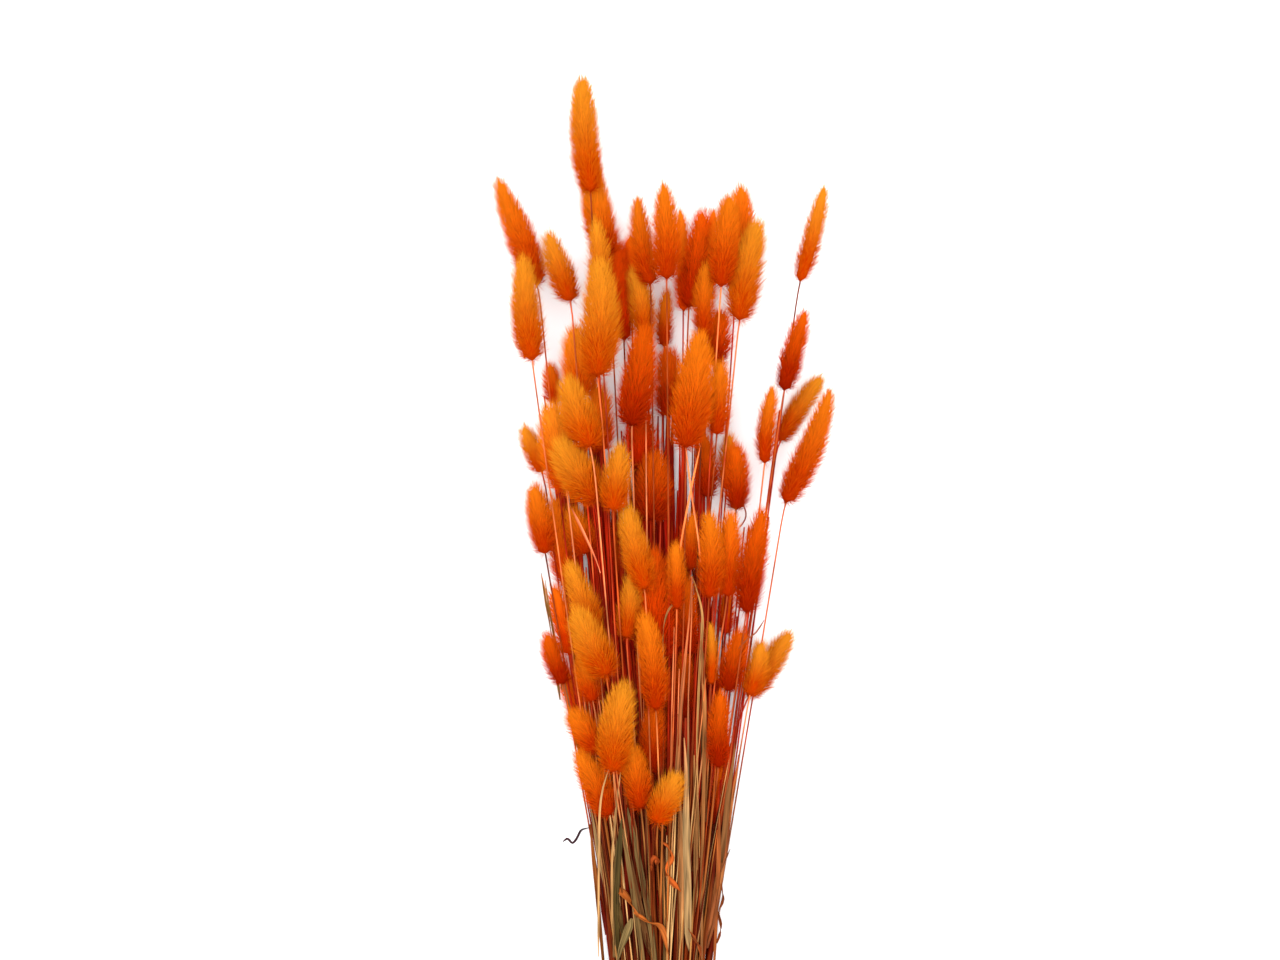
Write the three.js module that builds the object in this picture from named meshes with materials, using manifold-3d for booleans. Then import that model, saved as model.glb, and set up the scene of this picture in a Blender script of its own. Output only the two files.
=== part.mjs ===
// A bunch of dried and dyed bunny tail grass, tied near its cut ends and laid down on a table.
// Millimetres. X runs across the bunch, Y along it from the cut ends to the tips, Z up from the table.
// Each stalk grew as one piece: a thin stem, a leaf sheath round its lower half and one fluffy head.
import * as THREE from 'three';
import { mergeVertices } from 'three/addons/utils/BufferGeometryUtils.js';
import Module from 'manifold-3d';

const wasm = await Module();
wasm.setup();

// The bunch as a whole, from its cut ends at y = 0
const BUNCH_LENGTH = 601;
const CUT_END_SCATTER = 9;
const FOOT_SPLAY = 1.12;
const GAP = 0.3;

// The tie, and the stalks' middles where it holds them
const TIE_Y = 51;
const TIE_WIDTH = 8;
const TIE_THICKNESS = 1.8;
const TIE_SIDES = 24;
const TIE_HALF_SPREAD = 20;
const TIE_DEPTH = 18;

// Depth of the bunch, top to bottom, at places along it
const DEPTH_AT = [
  [0, 30],
  [TIE_Y, TIE_DEPTH],
  [100, 32],
  [200, 48],
  [300, 66],
  [400, 76],
  [500, 80],
  [BUNCH_LENGTH, 72],
];

// A stalk, and how much slimmer a side shoot is
const STEM_RADIUS = 0.75;
const STEM_SIDES = 4;
const STEM_IN_HEAD = 3;
const SHEATH_RADIUS = [1.6, 2.4];
const SHEATH_TOP = [120, 235];
const SHEATH_FADE = 40;
const SHOOT_SHARE = 0.8;

// A head: its radius rises with one power of the height and falls with the other.
const HEAD_SIDES = 8;
const HEAD_RISE = 0.35;
const HEAD_FALL = 0.55;
const NECK_SHARE = 0.35;
const TUFT_ROW = 8.2;
const TUFT_OUT = 1.16;
const TUFT_IN = 0.8;
const TUFT_LEAN = 0.55;
const FLUFF_SQUASH = 0.9;

// A leaf blade: its share of the full width at its foot and at its tip, and how soon it is full
const BLADE_HALF_THICKNESS = 0.6;
const BLADE_STEP = 16;
const BLADE_FOOT = [0.6, 0.13];
const BLADE_TIP = [0.35, 0.4];
const BLADE_RISE = 4;

// Settling: where stalks bend, where they are measured, and how hard their knots are drawn home
const SHOOT_Y = 84;
const KNOT_STEP = 36;
const LAST_KNOT_GAP = 14;
const SLICE_STEP = 4;
const SETTLE_PASSES = 260;
const CLEARING_PASSES = 400;
const CLEAR_ENOUGH = 0.03;
const SIDEWAYS_SHARE = 0.5;
const PARTING_RUN = 45;
const TIE_HOLD = [0.15, 0.15];
const HEAD_HOLD = [0.3, 0.06];
const BLADE_HOLD = [0.2, 0.04];
const END_HOLD = [0.05, 0.05];
const STEM_STIFFNESS = 0.3;
const SEED = 21;

// The heads on stalks that reach the cut ends: tint, lift through the depth of the bunch from 0 underneath
// to 1 on top, tip x and y, base x and y, width over the fluff. x is from the middle of the bunch.
const MAIN_HEADS = [
  ['amber', 0.78, -45, 601, -40, 535, 17.1],
  ['orange', 0.55, -39, 551, -30, 499, 18.9],
  ['amber', 0.92, -37, 519, -35, 469, 14.9],
  ['amber', 0.95, -35, 496, -36, 430, 21.1],
  ['red', 0.45, -26, 510, -21, 459, 13.7],
  ['orange', 0.6, -94, 545, -70, 483, 16.6],
  ['amber', 0.7, -65, 514, -51, 473, 16],
  ['amber', 0.85, -78, 499, -73, 439, 18.3],
  ['orange', 0.7, -14, 534, -6, 482, 14.9],
  ['orange', 0.97, 1, 540, 3, 485, 17.1],
  ['red', 0.6, 24, 527, 16, 473, 16],
  ['orange', 0.82, 39, 534, 34, 481, 17.1],
  ['orange', 0.5, 46, 542, 43, 483, 16],
  ['amber', 0.75, 55, 520, 44, 462, 18.3],
  ['amber', 0.5, 94, 541, 79, 483, 12],
  ['orange', 0.7, 26, 496, 24, 449, 13.7],
  ['amber', 0.6, -15, 494, -9, 449, 14.9],
  ['amber', 0.6, -49, 462, -46, 421, 18.3],
  ['red', 0.85, -9, 460, -17, 403, 20.6],
  ['orange', 0.97, 22, 456, 14, 390, 21.7],
  ['orange', 0.8, 33, 440, 31, 396, 15.4],
  ['red', 0.35, 4, 449, 4, 410, 16],
  ['red', 0.5, 83, 470, 70, 423, 14.3],
  ['orange', 0.6, 64, 426, 59, 379, 12.6],
  ['orange', 0.5, 98, 425, 71, 358, 15.4],
  ['amber', 0.98, -54, 431, -39, 390, 19.4],
  ['amber', 0.75, -63, 416, -54, 370, 19.4],
  ['amber', 0.45, -80, 404, -67, 374, 12.6],
  ['amber', 0.92, -59, 395, -37, 361, 18.3],
  ['amber', 0.98, -23, 393, -27, 353, 16],
  ['orange', 0.6, -73, 370, -66, 328, 16],
  ['amber', 0.98, -21, 359, -9, 309, 16],
  ['red', 0.6, 42, 393, 43, 353, 15.4],
  ['orange', 0.65, 40, 355, 39, 308, 16],
  ['orange', 0.9, 27, 354, 27, 304, 15.4],
  ['red', 0.7, 57, 356, 47, 297, 16.6],
  ['red', 0.45, -3, 389, -6, 349, 20.6],
  ['orange', 0.98, 8, 337, 9, 297, 10.9],
  ['amber', 0.85, -17, 320, -20, 280, 13.7],
  ['amber', 0.88, -53, 326, -39, 280, 16],
  ['amber', 1, -49, 300, -30, 262, 18.9],
  ['red', 0.66, -5, 333, -1, 277, 20],
  ['red', 0.75, 15, 317, 17, 271, 12.6],
  ['orange', 1, -10, 297, -3, 241, 16],
  ['orange', 0.85, -46, 274, -38, 243, 13.1],
  ['red', 0.65, -66, 285, -55, 254, 13.1],
  ['orange', 0.35, -57, 263, -43, 233, 12.6],
  ['red', 0.6, 47, 287, 38, 250, 15.4],
  ['amber', 0.6, 57, 279, 50, 246, 12.6],
  ['amber', 0.7, 28, 291, 29, 251, 8],
  ['red', 0.9, 34, 252, 33, 206, 13.7],
  ['amber', 1, -21, 258, -27, 208, 20.6],
  ['orange', 0.8, -53, 241, -34, 217, 13.7],
  ['orange', 0.9, -47, 218, -26, 179, 16],
  ['orange', 0.95, -21, 223, -12, 183, 15.4],
  ['amber', 1, 10, 207, -3, 177, 15.4],
  ['red', 0.78, -4, 246, -5, 201, 14.9],
  ['red', 0.4, 35, 209, 31, 170, 11.4],
];

// The heads on side shoots, which leave the foot of a main stalk of their own tint just above the tie
const SIDE_HEADS = [
  ['orange', 0.4, -18, 515, -17, 474, 12.6],
  ['amber', 0.35, 11, 529, 13, 473, 10.3],
  ['amber', 0.3, 31, 530, 27, 480, 10.3],
  ['orange', 0.3, 4, 483, 2, 446, 11.4],
  ['red', 0.4, 35, 471, 31, 437, 14.9],
  ['amber', 0.05, 94, 432, 68, 393, 11.4],
  ['orange', 0.05, -65, 441, -61, 414, 11.4],
  ['orange', 0.4, -62, 362, -54, 311, 13.7],
  ['amber', 0.3, 40, 400, 38, 366, 11.4],
  ['orange', 0.5, -36, 429, -35, 389, 16],
  ['orange', 0.5, -52, 357, -41, 327, 14.9],
  ['red', 0.5, 14, 274, 15, 233, 11.4],
  ['amber', 0.1, 76, 283, 50, 245, 12.6],
  ['orange', 0.05, 39, 307, 38, 280, 9.1],
  ['red', 0.5, -48, 228, -39, 197, 10.3],
  ['red', 0.1, 6, 251, 5, 194, 11.4],
  ['orange', 0.45, -62, 312, -53, 274, 12],
  ['orange', 0.5, 18, 353, 17, 319, 11.4],
  ['red', 0.42, 25, 400, 27, 360, 13.7],
  ['red', 0.05, -26, 349, -28, 303, 12.6],
  ['red', 0.3, -12, 417, -12, 383, 14.9],
];

// The leaf blades: lift, x and y where the blade leaves its stalk, tip x and y, width, turns along its length
const BLADES = [
  [1, 9, 156, 17, 317, 3.4, 0.5],
  [0.95, 20, 156, 17, 319, 3, -0.5],
  [1, 13, 84, 12, 226, 4.6, 0.3],
  [0.9, 24, 84, 22, 280, 4.4, -0.4],
  [0.95, -28, 84, -26, 180, 4.2, 0.4],
  [1, -5, 84, -24, 186, 3.2, 0.6],
  [0.9, -1, 84, -16, 182, 3.6, -0.5],
  [0.8, -30, 84, -42, 190, 4, 0.5],
  [0.8, 31, 120, 42, 224, 3.4, -0.6],
  [0.6, -45, 192, -69, 320, 2.6, 0.8],
  [1, -17, 84, -27, 140, 4.6, 1.2],
  [0.9, 4, 84, 2, 166, 3.8, 0.9],
];

const TINTS = {
  amber: new THREE.MeshStandardMaterial({ color: '#e5892c', roughness: 0.95, metalness: 0 }),
  orange: new THREE.MeshStandardMaterial({ color: '#dd5a14', roughness: 0.95, metalness: 0 }),
  red: new THREE.MeshStandardMaterial({ color: '#b8280e', roughness: 0.95, metalness: 0 }),
};

// Seeded draws from 0 to 1
function seeded(state) {
  return () => {
    state = (state * 1664525 + 1013904223) % 4294967296;
    return state / 4294967296;
  };
}

const random = seeded(SEED);
const between = ([low, high]) => low + (high - low) * random();
const { clamp, lerp, smoothstep } = THREE.MathUtils;

function depthOfBunch(y) {
  const after = Math.max(1, DEPTH_AT.findIndex(([height]) => height >= y));
  const [[y0, d0], [y1, d1]] = [DEPTH_AT[after - 1], DEPTH_AT[after]];
  return lerp(d0, d1, (y - y0) / (y1 - y0));
}

// Radius of a head as a share of its fullest, from 0 at its base to 1 at its tip
const swell = (h) => h ** HEAD_RISE * (1 - h) ** HEAD_FALL;
const fullest = swell(HEAD_RISE / (HEAD_RISE + HEAD_FALL));
const headOutline = (h) => swell(clamp(h, 0, 1)) / fullest;

// How far the tufts of a head reach from its axis. They lean towards the tip, so they fill it out there.
function headReach(stalk, y) {
  const h = (y - stalk.baseY) / (stalk.tipY - stalk.baseY);
  const outline = Math.max(headOutline(h), headOutline(h - TUFT_LEAN / stalk.rows), NECK_SHARE);
  return outline * TUFT_OUT * stalk.headRadius * stalk.lean;
}

function stemRadius(stalk, y) {
  const bare = smoothstep(y, stalk.sheathTop - SHEATH_FADE, stalk.sheathTop);
  return lerp(stalk.sheathRadius, STEM_RADIUS, bare);
}

// A knot's home is where the picture of the bunch puts it. A knot with no hold only follows its neighbours.
function knotAt(y, x, z, hold = null) {
  return { y, x, z, homeX: x, homeZ: z, hold };
}

// The path of a stalk or a blade is a chain of knots, each at its own y.
function pathPoint(path, y) {
  const found = path.findIndex((knot) => knot.y >= y);
  const upper = found < 0 ? path.length - 1 : Math.max(found, 1);
  const [a, b] = [path[upper - 1], path[upper]];
  const f = (y - a.y) / (b.y - a.y);
  return { x: lerp(a.x, b.x, f), z: lerp(a.z, b.z, f) };
}

// The knots between two others are at the same places on every stalk.
function knotPlaces(low, high) {
  const places = [TIE_Y];
  for (let y = SHOOT_Y; y < high - LAST_KNOT_GAP; y += KNOT_STEP) {
    places.push(y);
  }
  return places.filter((y) => y > low);
}

// Where across the tie a stalk goes, from -1 to 1: in the order of the heads, and closest in the middle.
function footSpread(baseX) {
  const before = MAIN_HEADS.filter((row) => row[4] < baseX).length;
  const rank = 2 * before / (MAIN_HEADS.length - 1) - 1;
  return lerp(rank, rank ** 3, 0.25);
}

// A main stalk starts at its cut end, and a side shoot at its main stalk's knot just above the tie.
function planStalk([tint, lift, tipX, tipY, baseX, baseY, width], parent = null) {
  const stalk = { tint, parent, baseY, tipY };
  stalk.root = parent ?? stalk;
  stalk.headRadius = width / 2 / TUFT_OUT;
  stalk.rows = Math.round((tipY - baseY) / TUFT_ROW);
  stalk.lean = Math.hypot(1, (tipX - baseX) / (tipY - baseY));
  stalk.sheathRadius = between(SHEATH_RADIUS) * (parent ? SHOOT_SHARE : 1);
  stalk.sheathTop = Math.min(between(SHEATH_TOP), baseY - SHEATH_FADE / 2);
  const tieX = TIE_HALF_SPREAD * footSpread(baseX);
  const tieZ = TIE_THICKNESS + TIE_DEPTH * lift;
  const baseZ = depthOfBunch(baseY) * lift;
  const tipZ = depthOfBunch(tipY) * lift;
  const foot = parent
    ? parent.path.find((knot) => knot.y === SHOOT_Y)
    : knotAt(CUT_END_SCATTER * random(), tieX * FOOT_SPLAY, tieZ, END_HOLD);
  const middle = knotPlaces(foot.y, baseY).map((y) => {
    const f = (y - TIE_Y) / (baseY - TIE_Y);
    return knotAt(y, lerp(tieX, baseX, f), lerp(tieZ, baseZ, f), y === TIE_Y ? TIE_HOLD : null);
  });
  stalk.path = [foot, ...middle, knotAt(baseY, baseX, baseZ, HEAD_HOLD), knotAt(tipY, tipX, tipZ, HEAD_HOLD)];
  stalk.reach = (y) => (y < baseY - SLICE_STEP ? stemRadius(stalk, y) : headReach(stalk, y));
  return stalk;
}

// The nearest of some main stalks to a place, at its own y
function nearestStalk(stalks, x, y, lift) {
  const z = depthOfBunch(y) * lift;
  const distance = (stalk) => {
    const at = pathPoint(stalk.path, Math.min(y, stalk.baseY));
    return Math.hypot(at.x - x, at.z - z);
  };
  return stalks.reduce((best, stalk) => (distance(stalk) < distance(best) ? stalk : best));
}

function planBlade([, , rootY, tipX, tipY, width, turns], parent, lift) {
  const foot = parent.path.find((knot) => knot.y === rootY);
  const tipZ = depthOfBunch(tipY) * lift + BLADE_RISE;
  const middle = knotPlaces(rootY, tipY).map((y) => {
    const f = (y - rootY) / (tipY - rootY);
    return knotAt(y, lerp(foot.x, tipX, f), lerp(foot.z, tipZ, f));
  });
  const path = [foot, ...middle, knotAt(tipY, tipX, tipZ, BLADE_HOLD)];
  return { parent, root: parent, width, turns, rootY, tipY, path, reach: () => width / 2 };
}

// Every side shoot grows from the nearest main stalk of its tint that has none yet, and every blade from the
// nearest that passes its root and has no blade yet.
function planBunch() {
  const mains = MAIN_HEADS.map((row) => planStalk(row));
  const shoots = [];
  for (const row of SIDE_HEADS) {
    const [tint, lift, , , baseX, baseY] = row;
    const free = mains.filter((stalk) => {
      return stalk.tint === tint && !shoots.some(({ parent }) => parent === stalk);
    });
    shoots.push(planStalk(row, nearestStalk(free, baseX, baseY, lift)));
  }
  const blades = [];
  for (const row of BLADES) {
    const [lift, rootX, rootY] = row;
    const free = mains.filter((stalk) => {
      return stalk.baseY > rootY + KNOT_STEP && !blades.some(({ parent }) => parent === stalk);
    });
    blades.push(planBlade(row, nearestStalk(free, rootX, rootY, lift), lift));
  }
  return { mains, shoots, blades };
}

// Each slice across the bunch lists the discs that the stalks and blades fill in it.
function sliceBunch(members) {
  const slices = [];
  for (let y = 0; y <= BUNCH_LENGTH; y += SLICE_STEP) {
    const slice = [];
    for (const member of members) {
      const upper = member.path.findIndex((knot) => knot.y >= y);
      if (upper > 0) {
        const [a, b] = [member.path[upper - 1], member.path[upper]];
        slice.push({ member, a, b, f: (y - a.y) / (b.y - a.y), y, reach: member.reach(y) + GAP / 2 });
      }
    }
    slices.push(slice);
  }
  return slices;
}

function locate(disc) {
  disc.x = lerp(disc.a.x, disc.b.x, disc.f);
  disc.z = lerp(disc.a.z, disc.b.z, disc.f);
}

function shift(disc, dx, dz) {
  const share = 1 / ((1 - disc.f) ** 2 + disc.f ** 2);
  disc.a.x += dx * (1 - disc.f) * share;
  disc.a.z += dz * (1 - disc.f) * share;
  disc.b.x += dx * disc.f * share;
  disc.b.z += dz * disc.f * share;
  disc.x += dx;
  disc.z += dz;
}

// Two members that grow from one root may touch where they part.
function neededGap(one, other) {
  const full = one.reach + other.reach;
  if (one.member.root !== other.member.root) {
    return full;
  }
  const fork = Math.max(one.member.path[0].y, other.member.path[0].y);
  return full * clamp((one.y - fork) / PARTING_RUN, 0, 1);
}

// Moves overlapping discs apart, mostly through the depth of the bunch where sideways is less than 1.
// Returns the deepest overlap that it met.
function pushApart(slice, sideways) {
  let worst = 0;
  slice.forEach(locate);
  for (let i = 0; i < slice.length; i += 1) {
    for (let j = i + 1; j < slice.length; j += 1) {
      const [one, other] = [slice[i], slice[j]];
      const dx = other.x - one.x;
      const dz = other.z - one.z;
      const overlap = neededGap(one, other) - Math.hypot(dx, dz);
      if (overlap > 0) {
        worst = Math.max(worst, overlap);
        const alongX = dx * sideways;
        const alongZ = dz || GAP;
        const step = overlap / 2 / Math.hypot(alongX, alongZ);
        shift(one, -alongX * step, -alongZ * step);
        shift(other, alongX * step, alongZ * step);
      }
    }
  }
  return worst;
}

// Nothing sinks below the table, or below the tie where it goes round the stalks. Fluff gives way a little.
function keepAboveTable(slice) {
  for (const disc of slice) {
    locate(disc);
    const inTie = Math.abs(disc.y - TIE_Y) < TIE_WIDTH;
    const floor = inTie ? TIE_THICKNESS + disc.reach : disc.reach * FLUFF_SQUASH;
    if (disc.z < floor) {
      shift(disc, 0, floor - disc.z);
    }
  }
}

// Held knots are drawn home, and the others towards the line between their neighbours.
function relax({ path }) {
  path.forEach((knot, i) => {
    if (knot.hold) {
      knot.x += (knot.homeX - knot.x) * knot.hold[0];
      knot.z += (knot.homeZ - knot.z) * knot.hold[1];
    } else if (i > 0) {
      const straight = pathPoint([path[i - 1], path[i + 1]], knot.y);
      knot.x += (straight.x - knot.x) * STEM_STIFFNESS;
      knot.z += (straight.z - knot.z) * STEM_STIFFNESS;
    }
  });
}

function settle(members) {
  const slices = sliceBunch(members);
  for (let pass = 0; pass < SETTLE_PASSES; pass += 1) {
    members.forEach(relax);
    slices.forEach((slice) => pushApart(slice, SIDEWAYS_SHARE));
    slices.forEach(keepAboveTable);
  }
  let worst = Infinity;
  for (let pass = 0; pass < CLEARING_PASSES && worst > CLEAR_ENOUGH; pass += 1) {
    worst = Math.max(...slices.map((slice) => pushApart(slice, 1)));
    slices.forEach(keepAboveTable);
  }
  return slices;
}

// A tube round a path: a cylinder whose rings go to the given places. section gives the half width, the half
// thickness and the turn of the ring there.
function tubeAlong(path, places, section) {
  const rings = places.length - 1;
  const tube = new THREE.CylinderGeometry(1, 1, 1, STEM_SIDES, rings);
  const spots = tube.attributes.position;
  for (let i = 0; i < spots.count; i += 1) {
    const y = places[Math.round((spots.getY(i) + 0.5) * rings)];
    const centre = pathPoint(path, y);
    const { wide, thick, turn } = section(y);
    const across = spots.getX(i) * wide;
    const up = spots.getZ(i) * thick;
    const x = centre.x + across * Math.cos(turn) - up * Math.sin(turn);
    const z = centre.z + across * Math.sin(turn) + up * Math.cos(turn);
    spots.setXYZ(i, x, y, Math.max(z, 0));
  }
  return tube;
}

function stemOf(stalk) {
  const turn = 2 * Math.PI * random();
  const toHead = stalk.path.slice(0, -1).map((knot) => knot.y);
  return tubeAlong(stalk.path, [...toHead, stalk.baseY + STEM_IN_HEAD], (y) => {
    const radius = stemRadius(stalk, y);
    return { wide: radius, thick: radius, turn };
  });
}

const isTuft = (row, side) => (row + side) % 2 === 0;

// Splits each square of a turned head into triangles from tuft to tuft's far neighbour, so that no edge joins
// two tufts and each stands as a peak of its own. A square's corners are i, i + rows, i + rows + 1 and i + 1.
function partTufts(head, pointsPerSide) {
  const corners = head.index;
  for (let square = 0; square < corners.count; square += 6) {
    const first = corners.getX(square);
    if (!isTuft(first % pointsPerSide, Math.floor(first / pointsPerSide))) {
      corners.setX(square + 2, first + pointsPerSide + 1);
      corners.setX(square + 5, first);
    }
  }
}

// A head is turned as a lathe turns it, and then every second point of each row stands out as a tuft that
// leans towards the tip, with the next row's tufts between them.
function headOf(stalk) {
  const rows = stalk.rows + 1;
  const outline = [];
  for (let row = 0; row <= rows; row += 1) {
    outline.push(new THREE.Vector2(row === 0 || row === rows ? 0 : 1, row));
  }
  const head = new THREE.LatheGeometry(outline, HEAD_SIDES);
  partTufts(head, outline.length);
  const spots = head.attributes.position;
  for (let i = 0; i < spots.count; i += 1) {
    const row = i % outline.length;
    const side = Math.floor(i / outline.length) % HEAD_SIDES;
    const inner = row > 0 && row < rows;
    const tuft = isTuft(row, side);
    const h = row / rows;
    const along = h + (inner && tuft ? TUFT_LEAN / rows : 0);
    const radius = inner ? stalk.headRadius * headOutline(h) * (tuft ? TUFT_OUT : TUFT_IN) : 0;
    const y = lerp(stalk.baseY, stalk.tipY, along);
    const centre = pathPoint(stalk.path, y);
    const angle = 2 * Math.PI * side / HEAD_SIDES;
    const x = centre.x + radius * stalk.lean * Math.cos(angle);
    spots.setXYZ(i, x, y, Math.max(centre.z - radius * Math.sin(angle), 0));
  }
  return head;
}

function bladeOf(blade) {
  const steps = Math.round((blade.tipY - blade.rootY) / BLADE_STEP);
  const places = Array.from({ length: steps + 1 }, (_, i) => lerp(blade.rootY, blade.tipY, i / steps));
  const turn = Math.PI * random();
  return tubeAlong(blade.path, places, (y) => {
    const f = (y - blade.rootY) / (blade.tipY - blade.rootY);
    const foot = lerp(BLADE_FOOT[0], 1, Math.min(1, f / BLADE_FOOT[1]));
    const tip = lerp(BLADE_TIP[0], 1, Math.min(1, (1 - f) / BLADE_TIP[1]));
    const wide = blade.width / 2 * Math.min(foot, tip);
    return { wide, thick: BLADE_HALF_THICKNESS, turn: turn + 2 * Math.PI * blade.turns * f };
  });
}

function solid(geometry) {
  const bare = geometry.clone();
  bare.deleteAttribute('normal');
  bare.deleteAttribute('uv');
  const merged = mergeVertices(bare);
  return new wasm.Manifold(new wasm.Mesh({
    numProp: 3,
    vertProperties: new Float32Array(merged.attributes.position.array),
    triVerts: new Uint32Array(merged.index.array),
  }));
}

function fuse(geometries) {
  const joined = geometries.map(solid).reduce((whole, next) => whole.add(next));
  const { vertProperties, triVerts } = joined.getMesh();
  const geometry = new THREE.BufferGeometry();
  geometry.setAttribute('position', new THREE.BufferAttribute(vertProperties, 3));
  geometry.setIndex(new THREE.BufferAttribute(triVerts, 1));
  geometry.computeVertexNormals();
  return geometry;
}

// The tie is pulled tight: its inner side follows the straight lines that touch the outermost stalks. The
// first line is the table's.
function tieOutline(discs, outward) {
  const lines = [];
  for (let side = 0; side < TIE_SIDES; side += 1) {
    const angle = 2 * Math.PI * side / TIE_SIDES - Math.PI / 2;
    const [nx, nz] = [Math.cos(angle), Math.sin(angle)];
    const touch = Math.max(...discs.map((disc) => disc.x * nx + disc.z * nz + disc.reach));
    lines.push({ nx, nz, distance: (side === 0 ? -TIE_THICKNESS : touch + GAP / 2) + outward });
  }
  const corners = lines.map((line, i) => {
    const next = lines[(i + 1) % TIE_SIDES];
    const cross = line.nx * next.nz - line.nz * next.nx;
    const x = (line.distance * next.nz - next.distance * line.nz) / cross;
    const z = (next.distance * line.nx - line.distance * next.nx) / cross;
    return new THREE.Vector2(x, -z);
  });
  return corners.reverse();
}

function makeTie(slices) {
  const discs = slices.flat().filter((disc) => Math.abs(disc.y - TIE_Y) < TIE_WIDTH);
  discs.forEach(locate);
  const outline = new THREE.Shape(tieOutline(discs, TIE_THICKNESS));
  outline.holes.push(new THREE.Path(tieOutline(discs, 0)));
  const band = new THREE.ExtrudeGeometry(outline, { depth: TIE_WIDTH, bevelEnabled: false });
  const material = new THREE.MeshStandardMaterial({ color: '#c7a06a', roughness: 0.7, metalness: 0 });
  const tie = new THREE.Mesh(band, material);
  tie.name = 'tie_band';
  tie.rotation.x = -Math.PI / 2;
  tie.position.y = TIE_Y - TIE_WIDTH / 2;
  return tie;
}

const { mains, shoots, blades } = planBunch();
const slices = settle([...mains, ...shoots, ...blades]);
const group = new THREE.Group();
mains.forEach((stalk, i) => {
  const stems = [stalk, ...shoots.filter(({ parent }) => parent === stalk)];
  const leaves = blades.filter(({ parent }) => parent === stalk);
  const grown = [...stems.map(stemOf), ...stems.map(headOf), ...leaves.map(bladeOf)];
  const mesh = new THREE.Mesh(fuse(grown), TINTS[stalk.tint]);
  mesh.name = `stalk_${stalk.tint}_${i + 1}`;
  group.add(mesh);
});
group.add(makeTie(slices));

const box = new THREE.Box3().setFromObject(group);
group.position.set(-(box.min.x + box.max.x) / 2, -(box.min.y + box.max.y) / 2, -box.min.z);

export default group;
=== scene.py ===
import math
import random

import bpy
import numpy as np
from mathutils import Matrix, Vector


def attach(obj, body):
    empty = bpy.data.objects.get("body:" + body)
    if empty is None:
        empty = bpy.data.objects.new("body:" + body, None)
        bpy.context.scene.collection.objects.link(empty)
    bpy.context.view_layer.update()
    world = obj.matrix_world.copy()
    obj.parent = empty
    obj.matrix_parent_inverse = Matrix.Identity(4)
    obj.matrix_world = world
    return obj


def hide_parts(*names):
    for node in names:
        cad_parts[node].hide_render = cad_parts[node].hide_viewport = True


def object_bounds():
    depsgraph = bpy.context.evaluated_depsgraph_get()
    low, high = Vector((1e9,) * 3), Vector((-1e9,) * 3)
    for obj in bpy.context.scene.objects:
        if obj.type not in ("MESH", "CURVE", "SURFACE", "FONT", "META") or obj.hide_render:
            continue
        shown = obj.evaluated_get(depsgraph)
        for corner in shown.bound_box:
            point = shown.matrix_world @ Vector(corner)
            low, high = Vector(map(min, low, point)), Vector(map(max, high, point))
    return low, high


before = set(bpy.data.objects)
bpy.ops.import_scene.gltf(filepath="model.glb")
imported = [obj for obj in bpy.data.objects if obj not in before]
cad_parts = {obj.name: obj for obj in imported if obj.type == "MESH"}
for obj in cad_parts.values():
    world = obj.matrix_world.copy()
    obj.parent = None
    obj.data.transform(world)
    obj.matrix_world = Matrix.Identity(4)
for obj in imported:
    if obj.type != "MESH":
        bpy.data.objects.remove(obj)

cad_low, cad_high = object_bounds()

# The stalks
# Each stalk grew as one piece: a thin stem, a leaf sheath round its lower half and a fluffy head.
# The frame holds them as plain solids, and slices across a solid give its middle line and its girth.
MM = 0.001
SLICE = 2 * MM
MOST_STEP_ASIDE = 5 * MM
LEAST_HEAD_AREA = 16 * MM * MM
LEAST_LENGTH = 20 * MM
STEM_INTO_HEAD = 3 * MM
STEM_BENDS = 16 * MM
WELD = 0.001 * MM


def read_solid(node):
    """The points of a node's solid, welded, and the three points of each of its triangles."""
    mesh = node.data
    mesh.calc_loop_triangles()
    places = np.empty(len(mesh.vertices) * 3)
    mesh.vertices.foreach_get("co", places)
    triangles = np.empty(len(mesh.loop_triangles) * 3, int)
    mesh.loop_triangles.foreach_get("vertices", triangles)
    steps = (places.reshape(-1, 3) / WELD).round().astype(np.int64)
    spots, which = np.unique(steps, axis=0, return_inverse=True)
    return spots * WELD, which.reshape(-1)[triangles].reshape(-1, 3)


def slice_solid(points, triangles, y):
    """The closed outlines that a cut across a solid at y shows."""
    above = points[:, 1] > y
    sides = above[triangles]
    place, follows = {}, {}
    for triangle in triangles[sides.any(1) & ~sides.all(1)]:
        for a, b in zip(triangle, np.roll(triangle, -1)):
            if above[a] != above[b]:
                edge = (min(a, b), max(a, b))
                share = (y - points[a, 1]) / (points[b, 1] - points[a, 1])
                place[edge] = points[a] + share * (points[b] - points[a])
                if above[b]:
                    start = edge
                else:
                    end = edge
        follows[start] = end
    outlines = []
    while follows:
        first, at = follows.popitem()
        outline = [place[first]]
        while at != first:
            outline.append(place[at])
            at = follows.pop(at)
        outlines.append(np.array(outline))
    return outlines


def measure_outline(outline):
    """Middle x and z, area and half width of an outline across the bunch."""
    x, z = outline[:, 0], outline[:, 2]
    next_x, next_z = np.roll(x, -1), np.roll(z, -1)
    cross = x * next_z - next_x * z
    area = cross.sum() / 2
    if abs(area) < WELD * WELD:
        return [x.mean(), z.mean(), 0, 0]
    middle_x = ((x + next_x) * cross).sum() / 6 / area
    middle_z = ((z + next_z) * cross).sum() / 6 / area
    return [middle_x, middle_z, abs(area), (x.max() - x.min()) / 2]


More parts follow.
